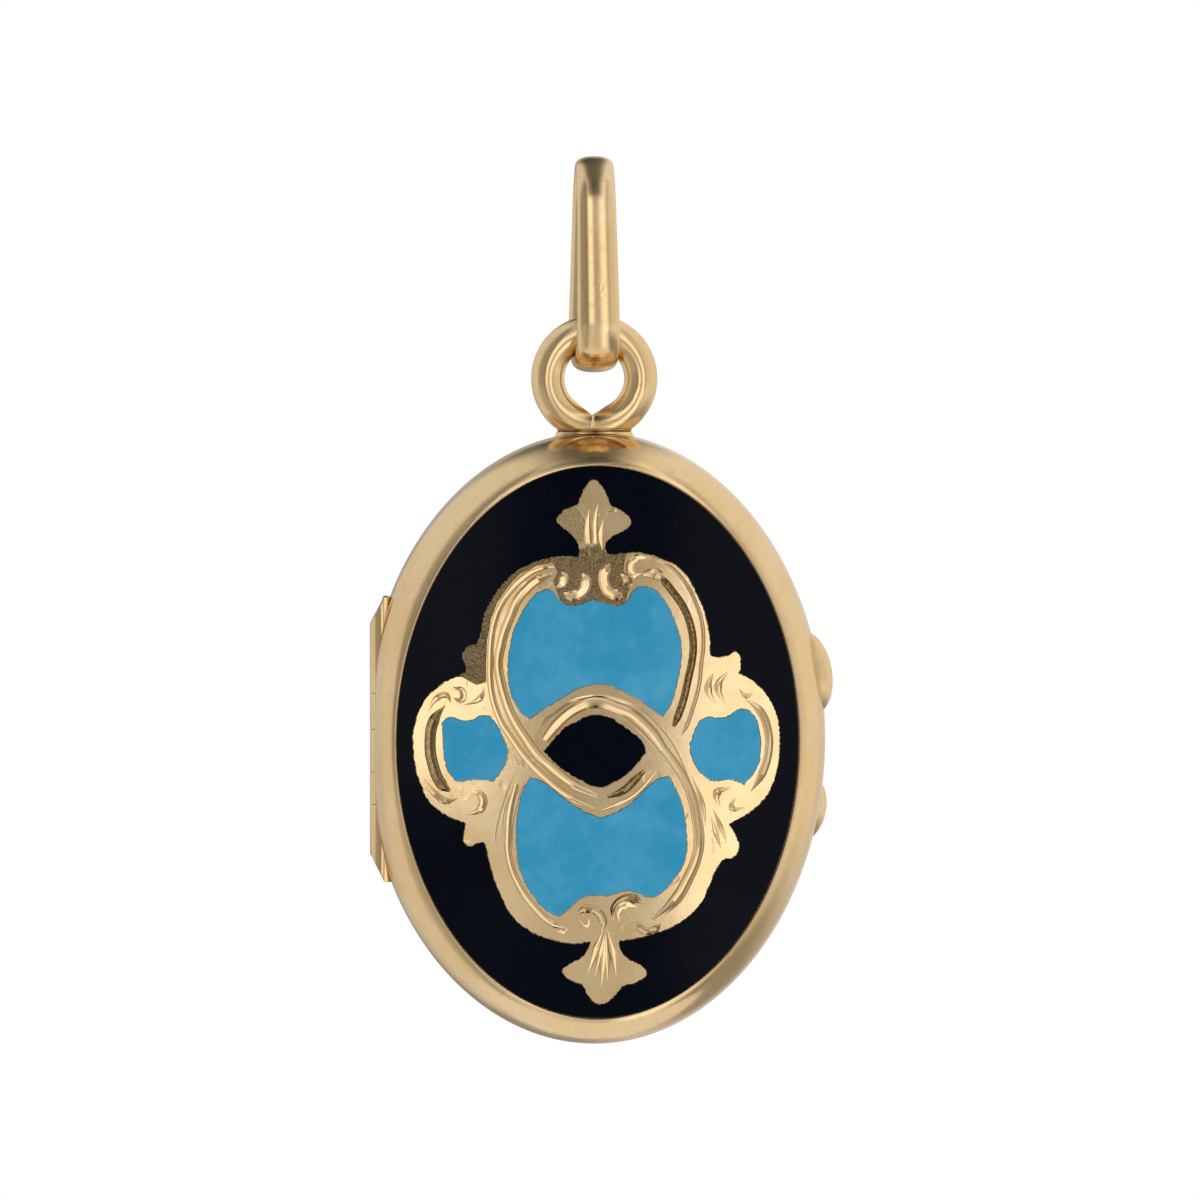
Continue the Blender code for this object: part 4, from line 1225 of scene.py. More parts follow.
@dataclass
class Front:
    """Enamel cells and the carved gold cartouche of the front cover.

    The eases and the gap are in the drawing's millimetres, and the photograph's centre is in its pixels.
    """

    sizes: CaseSizes
    photo_centre: Point = (597.7, 742.4)
    mm_per_pixel: float = 0.0398
    turn: float = 1.1
    fit: float = 0.995
    cell_ease: float = 0.09
    centre_ease: float = 0.04
    gap: float = 0.03
    bed: float = 0.04 * MM
    cut_angle: float = 4.0
    wobble_seed: int = 7
    wobble: float = 0.045 * MM
    wobble_length: float = 0.12 * MM
    ground_depth: float = 0.045 * MM
    ground_tolerance: float = 0.002 * MM
    full_shade_depth: float = 0.06 * MM
    stroke_gap: float = 0.06 * MM
    stroke_steps: int = 8
    stroke_lift: float = 0.002 * MM
    finest_end: float = 0.08
    grid: float = 0.4 * MM

    def build(self) -> None:
        """Makes the cartouche and the enamel."""
        cells = {
            "turquoise_upper": (UPPER_CELL, self.cell_ease, Finishes.TURQUOISE),
            "turquoise_lower": (LOWER_CELL, self.cell_ease, Finishes.TURQUOISE),
            "turquoise_left": (LEFT_CELL, self.cell_ease, Finishes.TURQUOISE),
            "turquoise_right": (RIGHT_CELL, self.cell_ease, Finishes.TURQUOISE),
            "navy_centre": (CENTRE_CELL, self.centre_ease, Finishes.NAVY),
        }
        self._cartouche([grown(outline, ease) for outline, ease, _ in cells.values()])
        for name, (outline, ease, finish) in cells.items():
            plate = self._plate(name + "_cell", [grown(outline, ease - self.gap)])
            self._finish_enamel(plate, finish, "enamel_" + name)
        self._navy_field()

    @property
    def thickness(self) -> float:
        """Thickness of the enamel and of the gold between it."""
        return self.sizes.enamel_depth - self.bed

    def from_photo(self, place: Point) -> Point:
        """A pixel's place on the field, across and up from its middle."""
        across, up = place[0] - self.photo_centre[0], self.photo_centre[1] - place[1]
        return across * self.mm_per_pixel * MM, up * self.mm_per_pixel * MM

    def _add_outline(self, curve: Curve, outline: Outline) -> None:
        """Adds an outline of the drawing to a curve, with the small unevenness of hand-cut edges.

        Args:
            curve: the curve.
            outline: the outline's lines.
        """
        turn = np.array(Matrix.Rotation(math.radians(self.turn), 2))
        places = drawn(outline) @ turn.T * self.fit * MM
        noise.seed_set(self.wobble_seed)
        moves = [noise.noise_vector((x, y, 0.0))[:2] for x, y in places / self.wobble_length]
        add_straight(curve, [tuple(place) for place in places + np.array(moves) * self.wobble])

    def _plate(self, name: str, outlines: Sequence[Outline]) -> Piece:
        """A flat plate in the XY plane.

        Args:
            name: the object's name.
            outlines: the outer outline and its holes.

        Returns:
            The plate.
        """
        curve = flat_curve(name, self.thickness / 2)
        for outline in outlines:
            self._add_outline(curve, outline)
        return as_mesh(curve, name)

    def _score(self, piece: Piece) -> None:
        """Cuts a plate's faces along a grid, so that it can be bent to the dome.

        Args:
            piece: the plate.
        """
        edit_all(piece)
        corners = np.array([corner[:] for corner in piece.bound_box])
        low, high = corners.min(axis=0), corners.max(axis=0)
        for axis, normal in enumerate(((1, 0, 0), (0, 1, 0))):
            for step in range(math.ceil(low[axis] / self.grid), math.floor(high[axis] / self.grid) + 1):
                place = [part * step * self.grid for part in normal]
                bpy.ops.mesh.select_all(action="SELECT")
                bpy.ops.mesh.bisect(plane_co=place, plane_no=normal, threshold=WELD)
        bpy.ops.object.mode_set(mode="OBJECT")

    def _drape(self, piece: Piece) -> None:
        """Stands a plate of the XY plane upright and bends it to the domed front.

        Args:
            piece: the plate.
        """
        flat = read_points(piece)
        depth = self.sizes.field_depth(flat[:, 0], flat[:, 1]) - self.thickness / 2 + flat[:, 2]
        write_points(piece, np.stack([flat[:, 0], -depth, flat[:, 1]], axis=1))

    def _line(self, stroke: Stroke) -> np.ndarray:
        """Closely spaced points along a stroke.

        Args:
            stroke: the stroke.

        Returns:
            The points as rows.
        """
        places = np.array([self.from_photo(pixel) for pixel in stroke.line])
        steps = np.linspace(0, len(places) - 1, self.stroke_steps * len(places))
        return np.stack([np.interp(steps, range(len(places)), places[:, axis]) for axis in (0, 1)], axis=1)

    def _passes(self, strokes: Sequence[Stroke]) -> list[list[Stroke]]:
        """Sorts strokes into passes: one tool each, and no two of a pass's strokes touch.

        Args:
            strokes: the strokes.

        Returns:
            The passes.
        """
        passes: list[list[Stroke]] = []
        for stroke in strokes:
            line = self._line(stroke)
            for cuts in passes:
                gaps = [np.linalg.norm(line[:, None] - self._line(other)[None], axis=2).min()
                        - (stroke.width + other.width) / 2 * MM for other in cuts]
                if cuts[0].tool is stroke.tool and min(gaps) > self.stroke_gap:
                    cuts.append(stroke)
                    break
            else:
                passes.append([stroke])
        return passes

    def _gravings(self, strokes: Sequence[Stroke]) -> Piece:
        """Cutters of the strokes of one pass.

        Args:
            strokes: the strokes.

        Returns:
            The cutters as one object, lying in the plate's top face.
        """
        tool = strokes[0].tool
        curve = flat_curve("graving", fill="NONE")
        curve.bevel_depth = MM
        curve.bevel_resolution = tool.section_steps
        curve.use_fill_caps = True
        curve.resolution_u = self.stroke_steps
        for stroke in strokes:
            first, last = (max(end, self.finest_end) for end in stroke.ends)
            shares = [first, *[1.0] * (len(stroke.line) - 2), last]
            spline = curve.splines.new("BEZIER")
            spline.bezier_points.add(len(shares) - 1)
            for made, pixel, share in zip(spline.bezier_points, stroke.line, shares):
                made.co = (*self.from_photo(pixel), 0)
                made.handle_left_type = made.handle_right_type = "AUTO"
                made.radius = stroke.width / 2 * share
        cutter = as_mesh(curve, "graving")
        top = Matrix.Translation((0, 0, self.thickness / 2 + self.stroke_lift))
        cutter.data.transform(top @ Matrix.Diagonal((1, 1, tool.depth_share, 1)))
        return cutter

    def _cartouche(self, holes: Sequence[Outline]) -> None:
        """Pierced gold plate with its engraving.

        Args:
            holes: outlines of the cells.
        """
        piece = self._plate("carved_cartouche", [CARTOUCHE_EDGE, *holes])
        strokes = [*STRAP_CUTS, *LEFT_CUTS, *RIGHT_CUTS, *TOP_CUTS, *BOTTOM_CUTS]
        cutters = [self._lowering(share, outline) for share, outline in TONED_GROUND]
        cutters += [self._gravings(cuts) for cuts in self._passes(strokes)]
        for cutter in cutters:
            take_away(piece, cutter)
        self._score(piece)
        close_up(piece)
        self._mark(piece, strokes)
        self._drape(piece)
        outfit(piece, Finishes.CARVED_GOLD, "cover", ["gold_cartouche"], self.sizes.centre, self.cut_angle)

    def _lowering(self, share: float, outline: Sequence[Point]) -> Piece:
        """Cutter that lowers a stretch of ground a little below the plate's top face.

        Args:
            share: its share of the full lowering.
            outline: its corners, in pixels of the photograph.

        Returns:
            The cutter.
        """
        curve = flat_curve("lowering", self.thickness / 2)
        add_straight(curve, [self.from_photo(place) for place in outline])
        cutter = as_mesh(curve, "lowering")
        cutter.data.transform(Matrix.Translation((0, 0, self.thickness - self.ground_depth * share)))
        return cutter

    def _nearest_shade(self, places: np.ndarray, strokes: Sequence[Stroke]) -> np.ndarray:
        """Strength of the painted shade of the stroke that each point lies in or nearest to.

        Args:
            places: points of the flat cartouche, as rows.
            strokes: the strokes.

        Returns:
            The tones.
        """
        best = np.full(len(places), np.inf)
        tone = np.zeros(len(places))
        for stroke in strokes:
            line = np.array([self.from_photo(pixel) for pixel in stroke.line])
            for start, end in zip(line, line[1:]):
                along = end - start
                share = np.clip((places - start) @ along / (along @ along), 0, 1)
                off = np.linalg.norm(places - start - share[:, None] * along, axis=1) - stroke.width / 2 * MM
                tone = np.where(off < best, stroke.tone, tone)
                best = np.minimum(best, off)
        return tone

    def _mark(self, piece: Piece, strokes: Sequence[Stroke]) -> None:
        """Marks painted shade in cuts and toned ground on the flat cartouche as point values for its finish.

        Args:
            piece: the cartouche, in the XY plane.
            strokes: its engraved strokes.
        """
        flat = read_points(piece)
        sunk = self.thickness / 2 - flat[:, 2]
        ground = np.zeros(len(flat))
        for share, outline in TONED_GROUND:
            corners = np.array([self.from_photo(place) for place in outline])
            low, high = corners.min(axis=0), corners.max(axis=0)
            inside = np.all((flat[:, :2] > low) & (flat[:, :2] < high), axis=1)
            ground[inside & (np.abs(sunk - self.ground_depth * share) < self.ground_tolerance)] = share
        # painted shade in the cuts: darker the deeper the point, scaled by the nearest stroke's tone, none on
        # the toned ground
        cut = np.clip(sunk / self.full_shade_depth, 0, 1) * self._nearest_shade(flat[:, :2], strokes) * (ground == 0)
        mark_points(piece, "cut", cut)
        mark_points(piece, "ground", ground)

    def _finish_enamel(self, piece: Piece, finish: Finishes, node: str) -> None:
        """Drapes an enamel plate and puts it in place.

        Args:
            piece: the plate.
            finish: its finish.
            node: the node that it replaces.
        """
        self._score(piece)
        self._drape(piece)
        outfit(piece, finish, "cover", [node], self.sizes.centre)

    def _navy_field(self) -> None:
        """Navy enamel between the rim and the cartouche."""
        s = self.sizes
        curve = flat_curve("navy_field", self.thickness / 2)
        wide, high = (half - self.gap * MM for half in (s.field_half_width, s.field_half_height))
        around = arc_points(s.steps, 0, 360)[:-1]
        add_straight(curve, [(wide * math.cos(a), high * math.sin(a)) for a in around])
        self._add_outline(curve, grown(CARTOUCHE_EDGE, self.gap))
        piece = as_mesh(curve, "navy_field")
        self._finish_enamel(piece, Finishes.NAVY, "enamel_navy_field")


@dataclass
class Hinge:
    """Knuckles of the cover hinge, with chamfered tips at both ends."""

    sizes: CaseSizes
    knuckles: int = 5
    bore: float = 0.28 * MM
    tip_length: float = 1.1 * MM
    tip_chamfer: float = 0.62 * MM
    edge: float = 0.012 * MM
    ease: float = 0.015 * MM
    steps: int = 48

    def build(self) -> None:
        """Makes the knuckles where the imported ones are."""
        for number in range(1, self.knuckles + 1):
            node = f"hinge_knuckle_{number}"
            low, high = box_corners(node, self.sizes.centre)
            low.z -= self.ease if number < self.knuckles else 0
            high.z += self.ease if number > 1 else 0
            body = "case" if number % 2 else "cover"
            name = f"barrel_knuckle_{number}"
            if number in (1, self.knuckles):
                piece = self._end_knuckle(name, low.z, high.z, number == 1)
            else:
                piece = lathe(name, self._tube(low.z, high.z), self.steps, "Z", closed=True)
            piece.data.transform(Matrix.Translation((self.sizes.hinge_x, 0, 0)))
            outfit(piece, Finishes.POLISHED_GOLD, body, [node], self.sizes.centre)
        coat(packed("hinge_pin"), Finishes.INNER_GOLD)

    def _tube(self, low: float, high: float) -> list[Point]:
        """Section of a middle knuckle from its lower to its upper end, as (radius, height) points."""
        r, e = self.sizes.barrel_radius, self.edge
        return [(self.bore, low), (r - e, low), (r, low + e), (r, high - e), (r - e, high), (self.bore, high)]

    def _end_knuckle(self, name: str, low: float, high: float, top: bool) -> Piece:
        """End knuckle, bored from its inner end and sliced to a chamfered tip.

        Args:
            name: the object's name.
            low: its lower end.
            high: its upper end.
            top: whether it is the upper one.

        Returns:
            The knuckle, about the hinge's axis.
        """
        r, e, up = self.sizes.barrel_radius, self.edge, 1 if top else -1
        tip, near = (high, low) if top else (low, high)
        far = tip - up * self.tip_length
        outside = [(0, tip), (r - e, tip), (r, tip - up * e), (r, near + up * e), (r - e, near)]
        piece = lathe(name, [*outside, (self.bore, near), (self.bore, far), (0, far)], self.steps, "Z")
        slice_off(piece, (-r, 0, far), (-self.tip_length, 0, up * self.tip_chamfer))
        return piece


@dataclass
class Catches:
    """Thumb lobes on the free side of both covers."""

    sizes: CaseSizes
    depth_share: float = 0.5
    inset_share: float = 0.9
    length_share: float = 0.6
    sharp: float = 50.0

    def build(self) -> None:
        """Makes a lobe on each cover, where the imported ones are."""
        self._lobe("front_thumb_lobe", "front_thumb_catch", Side.FRONT, "cover")
        self._lobe("back_thumb_lobe", "back_thumb_catch", Side.BACK, "case")

    def _lobe(self, name: str, node: str, side: Side, body: str) -> None:
        """A rounded lobe, flattened against the cover.

        Args:
            name: the object's name.
            node: the node that it replaces.
            side: the cover's side.
            body: the body that it rides on.
        """
        s = self.sizes
        low, high = box_corners(node, s.centre)
        middle, size = (low + high) / 2, high - low
        edge = s.half_width * math.sqrt(1 - (middle.z / s.half_height) ** 2)
        clear_selection()
        bpy.ops.mesh.primitive_uv_sphere_add(segments=48, ring_count=28, radius=1.0)
        piece = bpy.context.object
        piece.name = name
        lean = math.atan((s.half_width / s.half_height) ** 2 * middle.z / edge)
        along = size.z * self.length_share
        proud = high.x - edge
        inset = proud * self.inset_share
        reach = proud + inset * math.cos(lean)
        across = math.sqrt(reach**2 - (along * math.sin(lean)) ** 2) / math.cos(lean)
        depth = size.y * self.depth_share
        piece.data.transform(Matrix.Translation((-inset, 0, 0)) @ Matrix.Diagonal((across, depth, along, 1)))
        piece.data.transform(Matrix.Rotation(-lean, 4, "Y"))
        near = min(abs(low.y), abs(high.y))
        piece.data.transform(Matrix.Translation((edge, side.value * (near + depth), middle.z)))
        seat = [(0, s.rim_depth), *s.shoulder(), (s.half_width, -s.rim_depth), (0, -s.rim_depth)]
        take_away(piece, s.oval("lobe_seat", seat, side))
        close_up(piece)
        outfit(piece, Finishes.POLISHED_GOLD, body, [node], s.centre, self.sharp)


@dataclass
class Suspension:
    """Ring, saddle and bail.

    The notch has its half width and its drop as shares of the ring's inner radius, and its tip as an offset
    from the ring's lowest inner point. The foot's section has shares of its half width, and drops in
    millimetres.
    """

    sizes: CaseSizes
    wire: float = 1.33 * MM
    notch: Point = (0.66, 0.75)
    notch_tip: Point = (-0.06 * MM, -0.3 * MM)
    seam_mm: Sequence[Point] = ((-0.03, 0.05), (0.03, 0.05), (-0.03, -0.6), (-0.07, -0.6))
    seam_half: float = 0.16 * MM
    ring_edge: float = 0.05 * MM
    ring_sharp: float = 35.0
    foot: Sequence[Point] = (
        (0.0, 0.0), (0.88, 0.0), (0.90, 0.02), (0.89, 0.06), (0.86, 0.08), (0.86, 0.11), (0.89, 0.14),
        (0.90, 0.2), (0.92, 0.28), (0.95, 0.37), (1.0, 0.47), (1.05, 0.56), (1.05, 0.9), (0.0, 0.9)
    )
    foot_depth: float = 1.5 * MM
    foot_steps: int = 96
    # drops of the foot's groove that gets a painted shadow, and the shadow's strength
    foot_shadow_band: Span = (0.05 * MM, 0.125 * MM)
    foot_shadow: float = 0.8
    foot_sharp: float = 40.0
    seat_gap: float = 0.02 * MM
    seat_half_depth: float = 2.0 * MM
    bail_turn: float = 1.3
    bail_twist: float = 2.6
    bail_thickness: float = 0.86 * MM
    bail_width: float = 1.7 * MM
    bail_squareness: float = 2.35
    bail_narrowing: float = 0.08
    bail_section_steps: int = 56
    bail_bend_steps: int = 36
    bail_side_steps: int = 12

    def build(self) -> None:
        """Makes the three pieces."""
        self._ring()
        self._saddle()
        self._bail()

    def _ring(self) -> None:
        """Thick wire ring whose ends meet in a notch at its flattened foot."""
        low, high = box_corners("suspension_ring", self.sizes.centre)
        radius = (high.x - low.x - self.wire) / 2
        middle = high.z - radius - self.wire / 2
        clear_selection()
        bpy.ops.mesh.primitive_torus_add(
            major_radius=radius, minor_radius=self.wire / 2, major_segments=144, minor_segments=56,
            rotation=(math.pi / 2, 0, 0), location=(0, 0, middle)
        )
        ring = bpy.context.object
        ring.name = "wire_ring"
        bpy.ops.object.transform_apply(location=True, rotation=True, scale=True)
        slice_off(ring, (0, 0, low.z), (0, 0, -1))
        inner = radius - self.wire / 2
        tip = (self.notch_tip[0], self.notch_tip[1] - inner)
        half, drop = (share * inner for share in self.notch)
        self._nick(ring, [(-half, -drop), (half, -drop), tip], 0.0, self.wire, middle)
        seam = [(tip[0] + x * MM, tip[1] + y * MM) for x, y in self.seam_mm]
        self._nick(ring, seam, -self.wire / 2, self.seam_half, middle)
        soften(ring, self.ring_edge, steps=3, angle=30.0)
        outfit(ring, Finishes.POLISHED_GOLD, "case", ["suspension_ring"], self.sizes.centre, self.ring_sharp)

    @staticmethod
    def _nick(ring: Piece, points: Sequence[Point], depth: float, half: float, middle: float) -> None:
        """Cuts a small prism out of the ring, from front to back.

        Args:
            ring: the ring.
            points: outline of the prism, across and up from the ring's middle.
            depth: place of the prism's middle along Y.
            half: half its length.
            middle: height of the ring's middle.
        """
        curve = flat_curve("nick", half)
        add_straight(curve, points)
        cutter = as_mesh(curve, "nick")
        turn = Matrix.Rotation(math.pi / 2, 4, "X")
        cutter.data.transform(Matrix.Translation((0, depth, middle)) @ turn)
        take_away(ring, cutter)

    def _saddle(self) -> None:
        """Flared foot under the ring, soldered on the back cover's edge; its groove has a painted shadow."""
        s = self.sizes
        low, high = box_corners("ring_saddle", s.centre)
        section = [(share, high.z - drop * MM) for share, drop in self.foot]
        saddle = lathe("ring_foot", section, self.foot_steps, "Z")
        saddle.data.transform(Matrix.Diagonal(((high.x - low.x) / 2, self.foot_depth / 2, 1, 1)))
        reach, deep = s.half_width + self.seat_gap, self.seat_half_depth
        seat = [(0, deep), (reach, deep), (reach, -deep), (0, -deep)]
        take_away(saddle, s.oval("saddle_seat", seat, Side.BACK))
        close_up(saddle)
        # painted shadow: the band of the foot's groove between these drops takes the gold's cut shade
        sunk = high.z - read_points(saddle)[:, 2]
        in_shadow_band = (sunk > self.foot_shadow_band[0]) & (sunk < self.foot_shadow_band[1])
        mark_points(saddle, "cut", in_shadow_band.astype(float) * self.foot_shadow)
        outfit(saddle, Finishes.POLISHED_GOLD, "case", ["ring_saddle"], s.centre, self.foot_sharp)

    def _bail_point(self, turn: float) -> Point:
        """A point of the bail's oval section, which is squarer on its outer half.

        Args:
            turn: the angle around the section, in radians.

        Returns:
            Its place towards the loop's middle and across it.
        """
        inward, across = math.cos(turn), math.sin(turn)
        power = 1.0 if inward > 0 else 2 / self.bail_squareness
        half_inward, half_across = self.bail_thickness / 2, self.bail_width / 2
        return (math.copysign(half_inward * abs(inward) ** power, inward),
                math.copysign(half_across * abs(across) ** power, across))

    def _bail(self) -> None:
        """Long loop of oval wire, a little narrower at its top."""
        low, high = box_corners("bail", Vector())
        section = flat_curve("bail_section", fill="NONE")
        around = arc_points(self.bail_section_steps, 0, 360)[:-1]
        add_straight(section, [self._bail_point(a) for a in around])
        guide = linked("bail_section", section)
        path = flat_curve("bail_loop", fill="NONE")
        path.bevel_mode = "OBJECT"
        path.bevel_object = guide
        turn = math.radians(self.bail_turn)
        depth = (high.y - low.y - self.bail_width * math.sin(turn)) / math.cos(turn)
        bend = (depth - self.bail_thickness) / 2
        top, foot = high.z - self.bail_thickness / 2 - bend, low.z + self.bail_thickness / 2 + bend
        points = []
        for near, far, start in ((top, foot, 0), (foot, top, 180)):
            angles = arc_points(self.bail_bend_steps, start, start + 180)
            points += [(bend * math.cos(a), near + bend * math.sin(a)) for a in angles]
            side, steps = points[-1][0], self.bail_side_steps
            points += [(side, near + (far - near) * step / steps) for step in range(1, steps)]
        add_straight(path, points)
        for made in path.splines[0].points:
            made.radius = 1.0 - self.bail_narrowing * (made.co.y - foot) / (top - foot)
        loop = as_mesh(path, "bail_loop")
        bpy.data.objects.remove(guide)
        upright = Matrix.Rotation(math.pi / 2, 4, "X")
        loop.data.transform(Matrix.Rotation(math.pi / 2 + turn, 4, "Z") @ upright)
        places = read_points(loop)
        twist = math.radians(self.bail_twist) * (0.5 - (places[:, 2] - foot) / (top - foot))
        places[:, 0] -= places[:, 1] * np.sin(twist)
        write_points(loop, places)
        outfit(loop, Finishes.POLISHED_GOLD, "bail", ["bail"], Vector())


@dataclass
class PhotoFrame:
    """Bezel, crystal, blank photograph and pad of one cover.

    The bead's points are in millimetres from the bezel's inner edge and its nearest face.
    """

    sizes: CaseSizes
    side: Side
    body: str
    bezel_edge: float = 0.08 * MM
    collar_wall: float = 0.3 * MM
    lip_width: float = 0.85 * MM
    lip_thickness: float = 0.16 * MM
    bead_mm: Sequence[Point] = ((-0.02, 0.1), (0.05, 0.02), (0.16, 0.02), (0.2, 0.05), (0.26, 0.0))
    crystal_bevel: Point = (0.15 * MM, 0.12 * MM)

    def build(self) -> None:
        """Makes the frame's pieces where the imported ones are."""
        name = self.side.name.lower()
        pieces = (
            ("_photo_bezel", "_bezel", self._bezel, True, Finishes.INNER_GOLD),
            ("_clear_crystal", "_crystal", self._crystal, False, Finishes.CRYSTAL),
            ("_blank_photo", "_photo", self._photo, False, Finishes.PHOTO),
        )
        for piece_ending, node_ending, section, closed, finish in pieces:
            node = name + node_ending
            near, far = sorted(abs(corner[1]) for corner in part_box(node))
            profile = section(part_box(node)[1][0], near, far)
            piece = self.sizes.oval(name + piece_ending, profile, self.side, closed)
            outfit(piece, finish, self.body, [node], self.sizes.centre)
        coat(packed(name + "_pad"), Finishes.PAD)

    def _bezel(self, outer: float, near: float, far: float) -> list[Point]:
        """Section of the bezel, with a rounded lip and a beaded inner edge.

        Args:
            outer: half width of the piece.
            near: depth of its nearest face from the parting plane.
            far: depth of its farthest face.

        Returns:
            (half width, depth) points.
        """
        collar, lip = outer - self.collar_wall, outer - self.lip_width
        under, edge = near + self.lip_thickness, self.bezel_edge
        outside = [(outer - edge, near), (outer, near + edge), (outer, far)]
        inside = [(collar, far), (collar, under), (lip, under)]
        return outside + inside + [(lip + x * MM, near + y * MM) for x, y in self.bead_mm]

    def _crystal(self, edge: float, near: float, far: float) -> list[Point]:
        """Section of the thin crystal with its bevelled edge, as the bezel's."""
        across, deep = self.crystal_bevel
        return [(0, near), (edge - across, near), (edge, near + deep), (edge, far), (0, far)]

    def _photo(self, edge: float, near: float, far: float) -> list[Point]:
        """Section of the blank photograph, as the bezel's."""
        return [(0, near), (edge / 2, near), (edge, near), (edge, far), (edge / 2, far), (0, far)]


@dataclass(frozen=True)
class Light:
    """The light round the object, by direction: x to the right, y away from the camera and z up.

    The spans are the directions over which each part sets in, and the rest are strengths. In front, two
    streaks flank a dimmer slot at the middle. The sides are bright, and it is darker above, below on the
    right and behind.
    """

    middle: float = 0.05
    streak_inner: Span = (0.06, 0.14)
    streak_outer: Span = (0.28, 0.42)
    streak: float = 0.92
    streak_right: Span = (0.0, 0.2)
    streak_right_loss: float = 0.09
    low_left_x: Span = (-0.08, 0.04)
    low_left_z: Span = (-0.14, -0.07)
    low_left_loss: float = 0.76
    front: float = 0.54
    front_z: Span = (-0.2, -0.08)
    front_loss: float = 0.14
    band_inner: Span = (0.34, 0.42)
    band_outer: Span = (0.52, 0.62)
    band_loss: float = 0.1
    band_right_loss: float = 0.1
    right: Span = (-0.2, 0.2)
    outer_loss: float = 0.07
    outer_right_gain: float = 0.4
    side: float = 0.715
    side_x: Span = (-0.3, 0.3)
    side_gain: float = 0.11
    side_y: Span = (-0.5, -0.1)
    high_z: Span = (0.3, 0.6)
    high_x: Span = (0.12, 0.42)
    high_loss: float = 0.84
    low_right_x: Span = (0.15, 0.5)
    low_right_z: Span = (-0.65, -0.2)
    low_right_loss: float = 0.62
    behind: float = 1.12
    behind_y: Span = (0.45, 0.8)
    behind_loss: float = 0.7
    behind_middle: float = -0.12
    behind_x: Span = (0.1, 0.34)
    behind_x_gain: float = 0.45
    behind_z: Span = (-0.3, 0.3)
    behind_z_gain: float = 0.2

    def level(self, x: Value, y: Value, z: Value) -> Value:
        """Strength of the light from a direction.

        Args:
            x: the direction's part to the right.
            y: its part away from the camera.
            z: its part upwards.

        Returns:
            The strength.
        """
        off, right = abs(x - self.middle), x.between(*self.right)
        outer = off.between(*self.streak_outer)
        streak = off.between(*self.streak_inner) * (1 - outer)
        band = off.between(*self.band_inner) * (1 - off.between(*self.band_outer))
        low_left = (1 - x.between(*self.low_left_x)) * (1 - z.between(*self.low_left_z))
        gain = self.streak - low_left * self.low_left_loss
        gain = gain - x.between(*self.streak_right) * self.streak_right_loss
        front = self.front - z.between(*self.front_z) * self.front_loss + streak * gain
        front = front - outer * (self.outer_loss - right * self.outer_right_gain)
        front = front - band * (self.band_loss + right * self.band_right_loss)
        side = self.side + x.between(*self.side_x) * self.side_gain
        level = side + (front - side) * (1 - y.between(*self.side_y))
        high = z.between(*self.high_z) * (1 - abs(x).between(*self.high_x))
        low_right = x.between(*self.low_right_x) * (1 - z.between(*self.low_right_z))
        aside = abs(x - self.behind_middle).between(*self.behind_x) * self.behind_x_gain
        loss = self.behind_loss - aside - z.between(*self.behind_z) * self.behind_z_gain
        level = level * (1 - high * self.high_loss) * (1 - low_right * self.low_right_loss)
        return level * (self.behind - y.between(*self.behind_y) * loss)


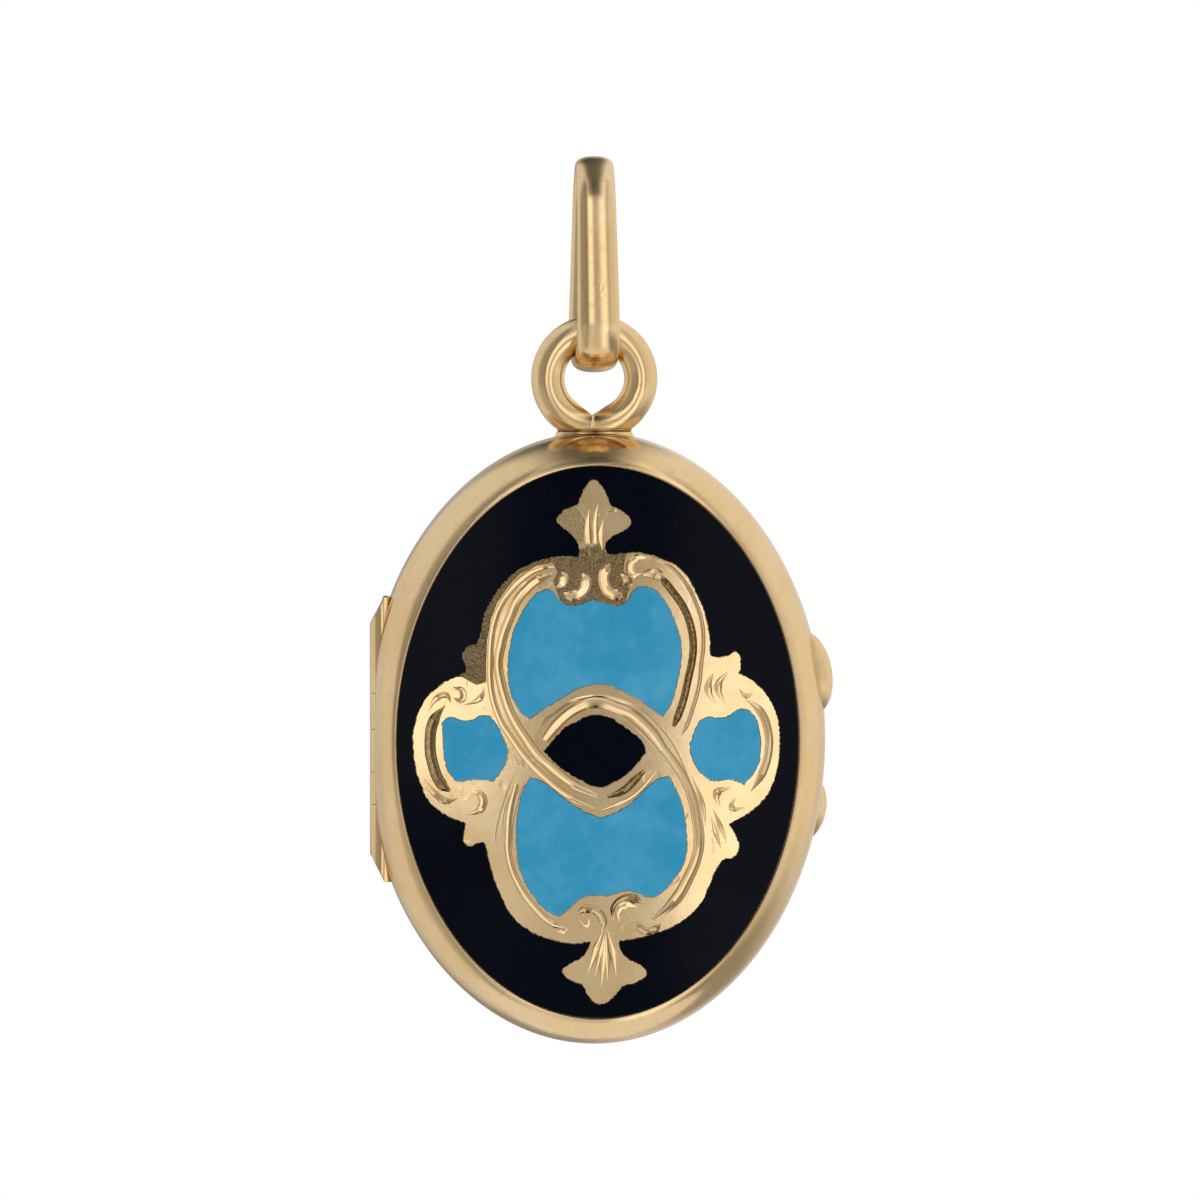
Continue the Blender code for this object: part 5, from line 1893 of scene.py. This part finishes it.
@dataclass
class Studio:
    """Camera at the photograph's view, pale floor and surrounding light."""

    sizes: CaseSizes
    light: Light = Light()
    sensor_mm: float = 36.0
    frame_width: float = 48.0 * MM
    distance: float = 0.45
    clip_start: float = 0.01
    azimuth: float = -3.2
    elevation: float = 3.6
    aim_right: float = 0.228 * MM
    aim_up: float = 5.52 * MM
    floor_drop: float = 60.0 * MM
    floor_radius: float = 50.0 * MM
    floor_colour: Colour = (0.9, 0.9, 0.9, 1.0)
    floor_glow: float = 0.35
    floor_glow_seen: float = 0.3

    def build(self) -> None:
        """Sets up the view, the floor and the light."""
        bpy.context.scene.view_settings.view_transform = "Standard"
        self._camera()
        self._floor()
        self._world()

    def _camera(self) -> None:
        """Long lens aimed a little above the case's middle."""
        data = bpy.data.cameras.new("photo_view")
        data.sensor_width = self.sensor_mm
        data.lens = self.sensor_mm * self.distance / self.frame_width
        data.clip_start = self.clip_start
        camera = bpy.data.objects.new("photo_view", data)
        bpy.context.scene.collection.objects.link(camera)
        az, el = math.radians(self.azimuth), math.radians(self.elevation)
        away = Vector((math.sin(az) * math.cos(el), -math.cos(az) * math.cos(el), math.sin(el)))
        aim = away.to_track_quat("Z", "Y").to_matrix().to_4x4()
        target = self.sizes.centre + aim.to_3x3() @ Vector((self.aim_right, self.aim_up, 0))
        camera.matrix_world = Matrix.Translation(target + away * self.distance) @ aim
        bpy.context.scene.camera = camera

    def _floor(self) -> None:
        """Round pale floor below the hanging locket, with a glow that is a little weaker to the camera."""
        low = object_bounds()[0][2]
        clear_selection()
        bpy.ops.mesh.primitive_circle_add(
            vertices=96, radius=self.floor_radius, fill_type="NGON", location=(0, 0, low - self.floor_drop)
        )
        floor = bpy.context.object
        floor.name = "pale_floor"
        material = bpy.data.materials.new("pale_floor")
        material.use_nodes = True
        graph = Graph(material.node_tree)
        path = graph.node("ShaderNodeLightPath", output="Is Camera Ray")
        matt = graph.node("ShaderNodeBsdfDiffuse", None, {"Color": self.floor_colour})
        shaders = []
        for strength in (self.floor_glow, self.floor_glow_seen):
            glow = graph.node("ShaderNodeEmission", None, {"Color": WHITE, "Strength": strength})
            shaders.append(graph.node("ShaderNodeAddShader", None, {0: matt, 1: glow}))
        shown = graph.node("ShaderNodeMixShader", None, {0: path, 1: shaders[0], 2: shaders[1]})
        graph.node("ShaderNodeOutputMaterial", None, {"Surface": shown})
        floor.data.materials.append(material)
        floor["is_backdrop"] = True

    def _world(self) -> None:
        """White background to the camera, and the studio's light to everything else."""
        world = bpy.data.worlds.new("studio")
        world.use_nodes = True
        bpy.context.scene.world = world
        graph = Graph(world.node_tree)
        toward = graph.node("ShaderNodeTexCoord", output="Generated")
        split = graph.node("ShaderNodeSeparateXYZ", None, {0: toward})
        x, y, z = (Value(graph, split.socket.node.outputs[axis]) for axis in "XYZ")
        camera = graph.node("ShaderNodeLightPath", output="Is Camera Ray")
        strength = camera + (1 - camera) * self.light.level(x, y, z)
        light = graph.node("ShaderNodeBackground", None, {"Color": WHITE, "Strength": strength})
        graph.node("ShaderNodeOutputWorld", None, {"Surface": light})


def main() -> None:
    """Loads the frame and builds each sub-assembly."""
    logging.basicConfig(level=logging.INFO, format="%(name)s: %(message)s")
    FRAME.update(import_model())
    sizes = CaseSizes.from_frame()
    Studio(sizes).build()
    Case(sizes).build()
    Front(sizes).build()
    Hinge(sizes).build()
    Catches(sizes).build()
    Suspension(sizes).build()
    PhotoFrame(sizes, Side.FRONT, "cover").build()
    PhotoFrame(sizes, Side.BACK, "case").build()


if __name__ == "__main__":
    main()
